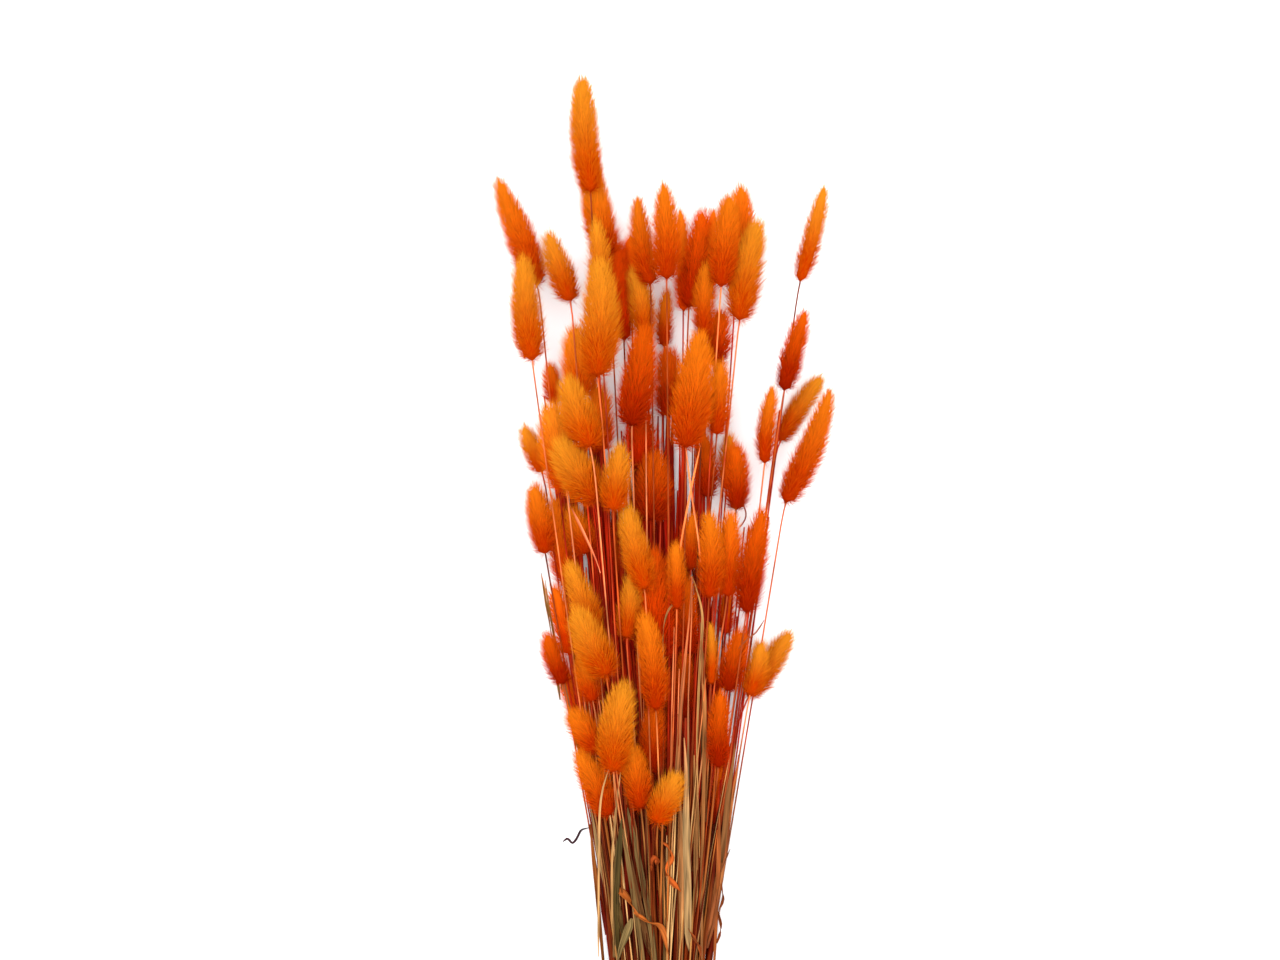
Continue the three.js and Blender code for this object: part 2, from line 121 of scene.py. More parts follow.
def trace_strands(node):
    """Follows each tip of a node down to where it joins another. Rows are y, x, z, area, half width."""
    points, triangles = read_solid(node)
    growing, done = [], []
    for y in np.arange(points[:, 1].max() - SLICE / 2, points[:, 1].min(), -SLICE):
        found = [measure_outline(outline) for outline in slice_solid(points, triangles, y)]
        taken = set()
        for strand in list(growing):
            aside = [math.dist(spot[:2], strand[-1][1:3]) for spot in found]
            nearest = min(range(len(found)), key=aside.__getitem__, default=None)
            goes_on = nearest is not None and aside[nearest] < MOST_STEP_ASIDE
            if goes_on:
                strand.append([y, *found[nearest]])
            if not goes_on or nearest in taken:
                growing.remove(strand)
                done.append(strand)
            if goes_on:
                taken.add(nearest)
        growing += [[[y, *spot]] for i, spot in enumerate(found) if i not in taken]
    strands = [np.array(strand)[::-1] for strand in done + growing]
    return [strand for strand in strands if len(strand) * SLICE > LEAST_LENGTH]


def smooth_line(line, reach):
    """A line with its bends rounded over reach metres to each side and its ends kept."""
    count = max(1, min(round(reach / SLICE), len(line) - 1))
    before = 2 * line[0] - line[count:0:-1]
    after = 2 * line[-1] - line[-2:-2 - count:-1]
    padded = np.concatenate([before, line, after])
    weights = np.hanning(2 * count + 3)[1:-1]
    weights /= weights.sum()
    return np.stack([np.convolve(column, weights, "valid") for column in padded.T], axis=1)


stems, heads, blades = [], [], []
for name, node in sorted(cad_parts.items()):
    if name == "tie_band":
        continue
    tint = name.split("_")[1]
    for strand in trace_strands(node):
        y, x, z, area, half_width = strand.T
        fat = area > LEAST_HEAD_AREA
        line = np.stack([x, y, z], axis=1)
        # A strand with no head in its upper half is a leaf blade.
        if not fat[len(fat) // 2:].any():
            blades.append({"node": name, "line": line, "half_width": half_width.max()})
            continue
        top = np.flatnonzero(fat)[-1]
        foot = top
        while fat[foot - 1]:
            foot -= 1
        lean = np.polyfit(y[foot:top + 1], line[foot:top + 1], 1)
        ends = y[foot] - SLICE / 2, y[-1] + SLICE / 2
        base, tip = (np.array([np.polyval(lean[:, i], at) for i in range(3)]) for at in ends)
        radius = half_width[foot:].max()
        heads.append({"node": name, "tint": tint, "base": base, "tip": tip, "radius": radius})
        # The solid of a stem has four sides, so its area is twice its radius squared.
        girth = np.sqrt(area[:foot] / 2)
        line = smooth_line(line[:foot + round(STEM_INTO_HEAD / SLICE)], STEM_BENDS)
        stems.append({"line": line, "girth": girth})
stalk_nodes = sorted({head["node"] for head in heads})


# Straw and dye
# The whole plant was dipped in dye: heads took it most, bare stems less and the waxy sheaths least.
# Straw is satin, with fine veins along it that are drawn 1.5 mm apart, wider than they grow, to show.
def linear(hex_colour):
    """The linear red, green and blue of an sRGB hex colour."""
    channels = [int(hex_colour[i:i + 2], 16) / 255 for i in (1, 3, 5)]
    return np.array([c / 12.92 if c <= 0.04045 else ((c + 0.055) / 1.055) ** 2.4 for c in channels])


def add(tree, kind, inputs=None, **settings):
    """Adds a node to a tree with its settings, its input values and its links."""
    node = tree.nodes.new(kind)
    for name, value in settings.items():
        setattr(node, name, value)
    for socket, value in (inputs or {}).items():
        if isinstance(value, bpy.types.NodeSocket):
            tree.links.new(value, node.inputs[socket])
        else:
            node.inputs[socket].default_value = value
    return node


def rgba(hex_colour):
    """A hex colour as the linear red, green, blue and alpha that a socket takes."""
    return (*linear(hex_colour), 1)


def start_material(name):
    """A material with an empty tree, its tree and its output."""
    material = bpy.data.materials.new(name)
    material.use_nodes = True
    tree = material.node_tree
    tree.nodes.clear()
    return material, tree, add(tree, "ShaderNodeOutputMaterial")


VEIN_PITCH = 1.48 * MM
VEIN_WANDER, VEIN_SHIFT = 4.86, 0.81
ONE_WAVE = math.tau / 20
FIBRE_WIDTH = 1.3 * MM
FIBRE_LENGTH = 28 * MM
FIBRE_SHIFT = 7.3
STAIN_SCALE = 0.22

dry_straw, tree, output = start_material("dry_straw")
# grain holds metres across the straw, metres along it and a number of its own for each straw.
grain = add(tree, "ShaderNodeAttribute", attribute_name="grain")
dyed = add(tree, "ShaderNodeAttribute", attribute_name="dyed")
fibres = add(tree, "ShaderNodeMapping", {
    "Vector": grain.outputs["Vector"],
    "Scale": (1 / FIBRE_WIDTH, 1 / FIBRE_LENGTH, FIBRE_SHIFT),
})
streaks = add(tree, "ShaderNodeTexNoise", {"Vector": fibres.outputs[0], "Scale": 1.0, "Detail": 3.0})
stains = add(tree, "ShaderNodeTexNoise", {
    "Vector": fibres.outputs[0], "Scale": STAIN_SCALE, "Detail": 2.0,
})
# At this scale the wave pattern draws one band in each unit of its vector.
veins = add(tree, "ShaderNodeTexWave", {
    "Vector": add(tree, "ShaderNodeMapping", {
        "Vector": grain.outputs["Vector"],
        "Scale": (1 / VEIN_PITCH, VEIN_WANDER, VEIN_SHIFT),
    }).outputs[0],
    "Scale": ONE_WAVE,
    "Distortion": 0.8,
}, bands_direction="X")
streak_light = add(tree, "ShaderNodeMapRange", {
    "Value": streaks.outputs["Fac"], "From Min": 0.32, "From Max": 0.68, "To Min": 0.42, "To Max": 1.5,
})
stain_light = add(tree, "ShaderNodeMapRange", {
    "Value": stains.outputs["Fac"], "From Min": 0.35, "From Max": 0.65, "To Min": 0.78, "To Max": 1.12,
})
light = add(tree, "ShaderNodeMath", {
    0: streak_light.outputs[0], 1: stain_light.outputs[0],
}, operation="MULTIPLY")
straw_colour = add(tree, "ShaderNodeVectorMath", {
    0: dyed.outputs["Color"], "Scale": light.outputs[0],
}, operation="SCALE")
ridges = add(tree, "ShaderNodeBump", {
    "Height": veins.outputs["Fac"], "Strength": 0.35, "Distance": 0.15 * MM,
})
straw_shader = add(tree, "ShaderNodeBsdfPrincipled", {
    "Base Color": straw_colour.outputs[0],
    "Roughness": 0.6,
    "Specular IOR Level": 0.04,
    "Normal": ridges.outputs[0],
})
tree.links.new(straw_shader.outputs[0], output.inputs["Surface"])


# Stems
# Thin round stalks of dried grass, coral where the dye took and straw near the cut ends; painted
# shade turns them deep red where they lie under the others. Each is a round section drawn along
# its middle line.
STEM_RADIUS = 0.45 * MM
BARE_GIRTH = 0.95 * MM
NECK_SLICES = 5
STEM_STEP = 8 * MM
STEM_SIDES = 6
STEM_DYES = ["#dc7848", "#d86c38", "#c85a2a", "#8c3612", "#a84418", "#742c12"]
STEM_STRAWS = ["#a06430", "#8a4a1c", "#7c3410", "#a87444"]
# Painted shade: how far a stem under others turns towards the shaded colours, and those colours.
STEM_SHADE = 0.8
SHADED_DYE, SHADED_STRAW = "#aa1400", "#640e00"
CUT_PITH = "#cfa878"
CUT_LIGHT, LEAST_SHADE = 45 * MM, 0.2
CUT_ENDS_BELOW = -280 * MM
DYE_LINE = (-125 * MM, -70 * MM)
DYE_BLEND = 70 * MM
TOP_CELL = 3 * MM
HIDDEN_FROM, HIDDEN_DEPTH = 1 * MM, 6.5 * MM
PATTERN_NUMBERS = (0, 40)
draw = random.Random(4)


def mix(one, other, share):
    """A value or a colour that lies a share of the way from one to the other."""
    return one + (other - one) * min(max(share, 0), 1)


def cell_of(spot):
    """The cell of the grid seen from above that a spot is in."""
    return round(spot[0] / TOP_CELL), round(spot[1] / TOP_CELL)


tops = {}
for stem in stems:
    for spot in stem["line"]:
        tops[cell_of(spot)] = max(spot[2], tops.get(cell_of(spot), 0))


def hidden_at(spot):
    """How deep a spot lies under the stalks on top of it, from 0 to 1."""
    column, row = cell_of(spot)
    top = max(tops.get((column + aside, row), 0) for aside in (-1, 0, 1))
    return min(max((top - spot[2] - HIDDEN_FROM) / HIDDEN_DEPTH, 0), 1)


def colour_at(spot, straw, dye, dye_line, shade_depth):
    """Straw's colour at a spot: dyed above its dye line, deeper with painted shade where it lies low."""
    dyed_share = (spot[1] - dye_line) / DYE_BLEND + 0.5
    # Light comes in at the cut ends, so the painted shade is less deep there.
    shade_depth *= min(max((spot[1] - cad_low[1]) / CUT_LIGHT, LEAST_SHADE), 1)
    deep = mix(linear(SHADED_STRAW), linear(SHADED_DYE), dyed_share)
    return mix(mix(linear(straw), linear(dye), dyed_share), deep, shade_depth)


def build_mesh(name, points, edges, faces, numbers=None, vectors=None):
    """A mesh with attributes on its points."""
    mesh = bpy.data.meshes.new(name)
    mesh.from_pydata(np.asarray(points).tolist(), edges, faces, shade_flat=False)
    for kind, field, given in (("FLOAT", "value", numbers), ("FLOAT_VECTOR", "vector", vectors)):
        for key, values in (given or {}).items():
            flat = np.asarray(values, float).reshape(-1)
            mesh.attributes.new(key, kind, "POINT").data.foreach_set(field, flat)
    return mesh


def new_tree(name, *sockets):
    """A geometry tree with geometry in and out and named inputs: (name, kind, value)."""
    tree = bpy.data.node_groups.new(name, "GeometryNodeTree")
    tree.interface.new_socket("Geometry", in_out="INPUT", socket_type="NodeSocketGeometry")
    tree.interface.new_socket("Geometry", in_out="OUTPUT", socket_type="NodeSocketGeometry")
    for socket, kind, value in sockets:
        made = tree.interface.new_socket(socket, in_out="INPUT", socket_type=kind)
        if value is not None:
            made.default_value = value
    return tree, add(tree, "NodeGroupInput"), add(tree, "NodeGroupOutput")


def grow(name, seed_mesh, tree, **values):
    """Runs a geometry tree on a mesh and returns a plain piece of what it makes."""
    source = bpy.data.objects.new(name + "_source", seed_mesh)
    bpy.context.scene.collection.objects.link(source)
    modifier = source.modifiers.new("grow", "NODES")
    modifier.node_group = tree
    keys = {item.name: item.identifier for item in tree.interface.items_tree if item.in_out == "INPUT"}
    for socket, value in values.items():
        modifier[keys[socket]] = value
    shown = source.evaluated_get(bpy.context.evaluated_depsgraph_get())
    mesh = bpy.data.meshes.new_from_object(shown)
    source.modifiers.remove(modifier)
    bpy.data.objects.remove(source)
    mesh.name = name
    piece = bpy.data.objects.new(name, mesh)
    bpy.context.scene.collection.objects.link(piece)
    return piece


tube_tree, given, made = new_tree(
    "stem_tube", ("Sides", "NodeSocketInt", STEM_SIDES), ("Material", "NodeSocketMaterial", None)
)
curve = add(tube_tree, "GeometryNodeMeshToCurve", {"Mesh": given.outputs["Geometry"]})
girth = add(tube_tree, "GeometryNodeInputNamedAttribute", {"Name": "girth"}, data_type="FLOAT")
section = add(tube_tree, "GeometryNodeCurvePrimitiveCircle", {
    "Resolution": given.outputs["Sides"], "Radius": 1.0,
})
tube = add(tube_tree, "GeometryNodeCurveToMesh", {
    "Curve": curve.outputs["Curve"],
    "Profile Curve": section.outputs["Curve"],
    "Scale": girth.outputs["Attribute"],
    "Fill Caps": True,
})
dressed = add(tube_tree, "GeometryNodeSetMaterial", {
    "Geometry": tube.outputs["Mesh"], "Material": given.outputs["Material"],
})
tube_tree.links.new(dressed.outputs[0], made.inputs["Geometry"])


class Straws:
    """Thin round straws gathered for one mesh of lines, with their dye and grain."""

    def __init__(self):
        self.points, self.edges, self.dyes, self.grains = [], [], [], []

    def add(self, line, dyes, number):
        """Adds a straw along a line. Its number sets its part of the straw's pattern."""
        start = len(self.points)
        self.points += list(line)
        self.edges += [(start + i, start + i + 1) for i in range(len(line) - 1)]
        self.dyes += dyes
        self.grains += [(0, i * STEM_STEP, number) for i in range(len(line))]

    def piece(self, name, sides):
        """One piece of all the straws, as tubes."""
        girths = [STEM_RADIUS] * len(self.points)
        attributes = {"dyed": self.dyes, "grain": self.grains}
        mesh = build_mesh(name, self.points, self.edges, [], {"girth": girths}, attributes)
        return grow(name, mesh, tube_tree, Sides=sides, Material=dry_straw)


stem_straws = Straws()
for stem in stems:
    line = stem["line"][::round(STEM_STEP / SLICE)]
    line = np.concatenate([line, stem["line"][-1:]])
    sheathed = np.flatnonzero(stem["girth"][:-NECK_SLICES] > BARE_GIRTH)
    stem["sheath_top"] = stem["line"][sheathed[-1], 1] if len(sheathed) else stem["line"][0, 1]
    stem["dye_line"] = draw.uniform(*DYE_LINE)
    stem["number"] = draw.uniform(*PATTERN_NUMBERS)
    stem["cut"] = line[0, 1] < CUT_ENDS_BELOW
    straw, dye = draw.choice(STEM_STRAWS), draw.choice(STEM_DYES)
    # Painted shade: a stem takes up to STEM_SHADE of the shaded colours where it lies under others.
    dyes = [colour_at(spot, straw, dye, stem["dye_line"], STEM_SHADE * hidden_at(spot)) for spot in line]
    # The pale pith shows where a stem was cut. Side shoots weren't.
    if stem["cut"]:
        dyes[0] = linear(CUT_PITH)
    stem_straws.add(line, dyes, stem["number"])
stem_piece = stem_straws.piece("stems", STEM_SIDES)
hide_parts(*stalk_nodes)
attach(stem_piece, "root")


# Leaf sheaths
# Each leaf grows as a sheath rolled round the lower stem, its edges overlapping, flattened as it
# dried, and opens at its top into a short dry tongue. They keep most of their straw colour.
SHEATH_STEP = 14 * MM
SHEATH_WALL = 0.22 * MM
SHEATH_SPOTS = 8
LEAST_SHEATH_RINGS = 5
LEAST_SHEATH_RADIUS = 1.3 * MM
SHEATH_SLACK = 0.35 * MM
SHEATH_NARROW_AT, SHEATH_OPENS_AT = 0.8, 0.72
SHEATH_TURNS, TONGUE_TURNS_LESS = 1.04, 0.8
SHEATH_ROLL, SHEATH_BREADTH = 0.07, 1.1
SHEATH_TWIST, SHEATH_FLATNESS = 0.6, (0.62, 0.8)
TONGUE_LEAN = (0.5 * MM, 2.5 * MM)
SHEATH_SHADE = 0.95
SHEATH_STRAWS = [
    "#b47640", "#9c5e32", "#8e4a20", "#78340e", "#682608", "#604220",
    "#4c3214", "#601600", "#480600", "#540e00", "#501200",
]
SHEATH_DYES = ["#c03808", "#a82400", "#b43004", "#c84c14"]


def carry_frame(line):
    """Across and up directions at each point of a line, turning no more than it does."""
    along = np.gradient(line, axis=0)
    along /= np.linalg.norm(along, axis=1, keepdims=True)
    across = np.cross(along[0], (0, 0, 1))
    result = []
    for direction in along:
        across = across - direction * across.dot(direction)
        across /= np.linalg.norm(across)
        result.append((across, np.cross(across, direction)))
    return result


def draw_skin(line, outlines):
    """Points and faces of a closed skin. outlines holds (across, up) pairs for each point."""
    count = len(outlines[0])
    points = []
    for spot, (across, up), outline in zip(line, carry_frame(line), outlines):
        points += [spot + a * across + b * up for a, b in outline]
    faces = []
    for ring in range(len(line) - 1):
        low, high = ring * count, (ring + 1) * count
        for i in range(count):
            j = (i + 1) % count
            faces.append((low + i, low + j, high + j, high + i))
    faces.append(tuple(reversed(range(count))))
    faces.append(tuple(range(len(points) - count, len(points))))
    return points, faces


def face_outwards(points, faces):
    """Turns all faces round if they enclose a negative volume."""
    volume = 0
    for face in faces:
        first = points[face[0]]
        for a, b in zip(face[1:-1], face[2:]):
            volume += np.dot(first, np.cross(points[a], points[b]))
    return faces if volume > 0 else [tuple(reversed(face)) for face in faces]


class Skins:
    """Closed skins gathered for one mesh, with their dye and grain."""

    def __init__(self):
        self.points, self.faces, self.dyes, self.grains = [], [], [], []

    def add(self, line, outlines, dyes, number):
        """Adds a skin along a line. Its number sets its part of the straw's pattern."""
        points, faces = draw_skin(line, outlines)
        faces = face_outwards(points, faces)
        start = len(self.points)
        self.points += points
        self.faces += [tuple(start + i for i in face) for face in faces]
        run = np.concatenate([[0], np.cumsum(np.linalg.norm(np.diff(line, axis=0), axis=1))])
        for outline, dye, along in zip(outlines, dyes, run):
            girth = np.concatenate([[0], np.cumsum(np.linalg.norm(np.diff(outline, axis=0), axis=1))])
            self.dyes += [dye] * len(outline)
            self.grains += [(width, along, number) for width in girth]

    def piece(self, name):
        """One piece of dry straw of all the skins, smooth but for their ends."""
        attributes = {"dyed": self.dyes, "grain": self.grains}
        mesh = build_mesh(name, self.points, [], self.faces, vectors=attributes)
        mesh.materials.append(dry_straw)
        mesh.polygons.foreach_set("use_smooth", [len(face) == 4 for face in self.faces])
        piece = bpy.data.objects.new(name, mesh)
        bpy.context.scene.collection.objects.link(piece)
        return piece


def turned(outline, angle):
    """An outline turned about its middle."""
    return outline @ np.array([[math.cos(angle), math.sin(angle)], [-math.sin(angle), math.cos(angle)]])


def rolled_outline(half_width, flatness, turns, angle):
    """The closed outline of a rolled leaf: turns of a spiral, turned by an angle and flattened."""
    angles = math.pi * turns * np.linspace(-1, 1, SHEATH_SPOTS)
    outer = half_width * (1 + SHEATH_ROLL * angles / math.pi)
    inner = outer - SHEATH_WALL
    loop = np.concatenate([
        np.stack([outer * np.cos(angles), outer * np.sin(angles)], axis=1),
        np.stack([inner * np.cos(angles), inner * np.sin(angles)], axis=1)[::-1],
    ])
    return turned(loop, angle) * (SHEATH_BREADTH, flatness)


sheaths = Skins()
for stem in stems:
    line = stem["line"]
    step = round(SHEATH_STEP / SLICE)
    line = line[line[:, 1] < stem["sheath_top"]][::step].copy()
    rings = len(line)
    if rings < LEAST_SHEATH_RINGS:
        continue
    widest = max(np.median(stem["girth"][:rings * step // 2]), LEAST_SHEATH_RADIUS)
    narrowest = STEM_RADIUS + SHEATH_SLACK
    angle = draw.uniform(0, math.tau)
    twist = draw.uniform(-SHEATH_TWIST, SHEATH_TWIST)
    flatness = draw.uniform(*SHEATH_FLATNESS)
    lean = np.array((draw.uniform(-1, 1), 0, draw.uniform(0, 1))) * draw.uniform(*TONGUE_LEAN)
    straw, dye = draw.choice(SHEATH_STRAWS), draw.choice(SHEATH_DYES)
    outlines, dyes = [], []
    for ring, spot in enumerate(line):
        share = ring / (rings - 1)
        opening = max(0, (share - SHEATH_OPENS_AT) / (1 - SHEATH_OPENS_AT))
        half_width = widest + (narrowest - widest) * min(1, share / SHEATH_NARROW_AT) ** 3
        turns = SHEATH_TURNS - TONGUE_TURNS_LESS * opening ** 1.5
        # Painted shade: deep red where the sheath lies under other stalks.
        dyes.append(colour_at(spot, straw, dye, stem["dye_line"], SHEATH_SHADE * hidden_at(spot)))
        spot += lean * opening ** 2
        outlines.append(rolled_outline(half_width, flatness, turns, angle + twist * share))
    if stem["cut"]:
        dyes[0] = linear(CUT_PITH)
    sheaths.add(line, outlines, dyes, stem["number"])
sheath_piece = sheaths.piece("leaf_sheaths")
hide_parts(*stalk_nodes)
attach(sheath_piece, "root")


# Leaf blades
# Narrow dry leaves that left their sheaths: folded along the midrib, twisted and curled as they
# dried. Each follows the blade that its stalk's solid carries. A taper gives a leaf's share of its
# full width at its foot and how fast it widens from there, and then the same for its tip.
LEAF_FACE = np.array([(-1, 0.5), (-0.55, 0.1), (0, -0.25), (0.55, 0.1), (1, 0.5)])
LEAF_WALL = 0.25 * MM
LEAF_STRAWS = ["#907048", "#806038", "#644a26", "#54401e", "#6c4424"]
LEAF_DYES = ["#c4663a", "#c07848", "#a85028"]
LEAF_DYE_RISE = 35 * MM
BLADE_BENDS = 12 * MM
BLADE_SLICES = 3
BLADE_BREADTH, BLADE_FOLD = 0.7, 0.7
BLADE_TAPER = ((0.35, 6), (0.12, 2.2))
BLADE_SWAY, BLADE_SWAYS = 0.6 * MM, 9
BLADE_TILT, BLADE_TWIST = (-0.5, 0.5), (-2.5, 2.5)


def folded_outline(half_width, fold, angle):
    """The closed outline of a leaf with a fold along its middle."""
    face = LEAF_FACE * (half_width, half_width * fold)
    return turned(np.concatenate([face, face[::-1] - (0, LEAF_WALL)]), angle)


def tapered(share, taper):
    """Share of a leaf's width or a head's hair, a share of the way from its foot to its tip."""
    (foot, from_foot), (tip, from_tip) = taper
    return min(1, foot + from_foot * share, tip + from_tip * (1 - share))


blade_skins = Skins()
for blade in blades:
    line = smooth_line(blade["line"], BLADE_BENDS)[::BLADE_SLICES].copy()
    angle, twist = draw.uniform(*BLADE_TILT), draw.uniform(*BLADE_TWIST)
    straw, dye = draw.choice(LEAF_STRAWS), draw.choice(LEAF_DYES)
    dye_line = draw.uniform(*DYE_LINE) + LEAF_DYE_RISE
    outlines, dyes = [], []
    for ring, spot in enumerate(line):
        share = ring / (len(line) - 1)
        width = BLADE_BREADTH * blade["half_width"] * tapered(share, BLADE_TAPER)
        spot[0] += BLADE_SWAY * math.sin(BLADE_SWAYS * share) * share
        outlines.append(folded_outline(width, BLADE_FOLD, angle + twist * share))
        dyes.append(colour_at(spot, straw, dye, dye_line, 0))
    blade_skins.add(line, outlines, dyes, draw.uniform(*PATTERN_NUMBERS))
blade_piece = blade_skins.piece("leaf_blades")
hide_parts(*sorted({blade["node"] for blade in blades}))
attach(blade_piece, "root")


# Dead stems
# Old stems that lost their heads fill the lower layers of the bunch, dyed deep red. Each runs
# between the middle lines of two stalks that are close to each other, and lower than they do.
DEAD_STEM_COUNT = 90
DEAD_STEM_SIDES = 4
DEAD_STEM_FOOT = 4 * MM
DEAD_STEM_TOPS = (-20 * MM, 150 * MM)
DEAD_STEM_SHORT = 10 * MM
DEAD_STEM_SHARES = (0.25, 0.75)
DEAD_STEM_HEIGHT, DEAD_STEM_LEAST_HEIGHT = 0.4, 1 * MM
DEAD_STEM_DYES = ["#a01800", "#b82a04", "#861000", "#c83c0c"]
DEAD_STEM_SHADE = 0.6
NEIGHBOUR_SLICE, NEIGHBOURS = 60, 6


def spot_on(stem, y):
    """The spot of a stem's middle line that is at y."""
    return np.array([np.interp(y, stem["line"][:, 1], stem["line"][:, i]) for i in range(3)])


dead_straws = Straws()
main_stems = [stem for stem in stems if stem["cut"]]
for number in range(DEAD_STEM_COUNT):
    host = main_stems[number % len(main_stems)]
    x = host["line"][NEIGHBOUR_SLICE, 0]
    others = sorted(main_stems, key=lambda stem: abs(stem["line"][NEIGHBOUR_SLICE, 0] - x))
    other = others[draw.randint(1, NEIGHBOURS)]
    share = draw.uniform(*DEAD_STEM_SHARES)
    top = min(draw.uniform(*DEAD_STEM_TOPS), host["line"][-1, 1], other["line"][-1, 1]) - DEAD_STEM_SHORT
    straw, dye = draw.choice(STEM_STRAWS), draw.choice(DEAD_STEM_DYES)
    heights = np.arange(host["line"][0, 1] + DEAD_STEM_FOOT, top, STEM_STEP)
    line = [mix(spot_on(host, y), spot_on(other, y), share) for y in heights]
    dyes = []
    # Painted shade: deeper where the dead stem lies under the stalks.
    for spot in line:
        spot[2] = max(DEAD_STEM_HEIGHT * spot[2], DEAD_STEM_LEAST_HEIGHT)
        dyes.append(colour_at(spot, straw, dye, host["dye_line"], DEAD_STEM_SHADE * hidden_at(spot)))
    dyes[0] = linear(CUT_PITH)
    dead_straws.add(line, dyes, number)
dead_piece = dead_straws.piece("dead_stems", DEAD_STEM_SIDES)
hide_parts(*stalk_nodes)
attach(dead_piece, "root")


# Withered leaves
# Flat strips of old leaf fill the back of the bunch, soaked deep red by the dye. They fan out
# between its sides, close to the table, and end in points among the heads.
STRIP_COUNT = 60
STRIP_STEP = 14 * MM
STRIP_FEET = (-290 * MM, -270 * MM)
STRIP_TOPS = (0, 150 * MM)
MORE_HIGH_TOPS = 0.7
STRIP_LEFT = 4
STRIP_RIGHT = ((-100 * MM, 40 * MM), (95, 80))
STRIP_LAYERS, STRIP_RISE = (3 * MM, 9 * MM), 4 * MM
STRIP_WIDTHS = (1.4 * MM, 2.8 * MM)
STRIP_FOLD = 0.4
STRIP_TAPER = ((1, 0), (0.15, 5))
STRIP_SWAY, STRIP_SWAYS, SWAY_PHASES = 0.8 * MM, 7, (0, 6)
STRIP_TILT, STRIP_TWIST = (-0.4, 0.4), (-1.5, 1.5)
STRIP_STRAWS = ["#801402", "#700e00", "#8c1c04", "#600c00"]
STRIP_DYES = ["#a41400", "#b42004", "#8c0e00", "#c03008"]


def sides_at(y, sides):
    """X of the left and right sides of the bunch at y, as percentiles of its main stems."""
    middles = [np.interp(y, stem["line"][:, 1], stem["line"][:, 0]) for stem in main_stems]
    return np.percentile(middles, sides)


strip_skins = Skins()
for number in range(STRIP_COUNT):
    top = mix(*STRIP_TOPS, draw.uniform(0, 1) ** MORE_HIGH_TOPS)
    heights = np.arange(draw.uniform(*STRIP_FEET), top, STRIP_STEP)
    share = (number + draw.uniform(0, 1)) / STRIP_COUNT
    line = []
    for y in heights:
        left, right = sides_at(y, (STRIP_LEFT, np.interp(y, *STRIP_RIGHT)))
        line.append((left + (right - left) * share, y, 0))
    line = np.array(line)
    layer, phase = draw.uniform(*STRIP_LAYERS), draw.uniform(*SWAY_PHASES)
    width = draw.uniform(*STRIP_WIDTHS)
    angle, twist = draw.uniform(*STRIP_TILT), draw.uniform(*STRIP_TWIST)
    straw, dye = draw.choice(STRIP_STRAWS), draw.choice(STRIP_DYES)
    outlines, dyes = [], []
    for ring, spot in enumerate(line):
        share = ring / (len(line) - 1)
        spot[0] += STRIP_SWAY * math.sin(STRIP_SWAYS * share + phase)
        spot[2] = layer + STRIP_RISE * share
        half_width = width * tapered(share, STRIP_TAPER)
        outlines.append(folded_outline(half_width, STRIP_FOLD, angle + twist * share))
        dyes.append(colour_at(spot, straw, dye, sum(DYE_LINE) / 2, 0))
    strip_skins.add(line, outlines, dyes, number)
strip_piece = strip_skins.piece("withered_leaves")
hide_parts(*stalk_nodes)
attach(strip_piece, "root")


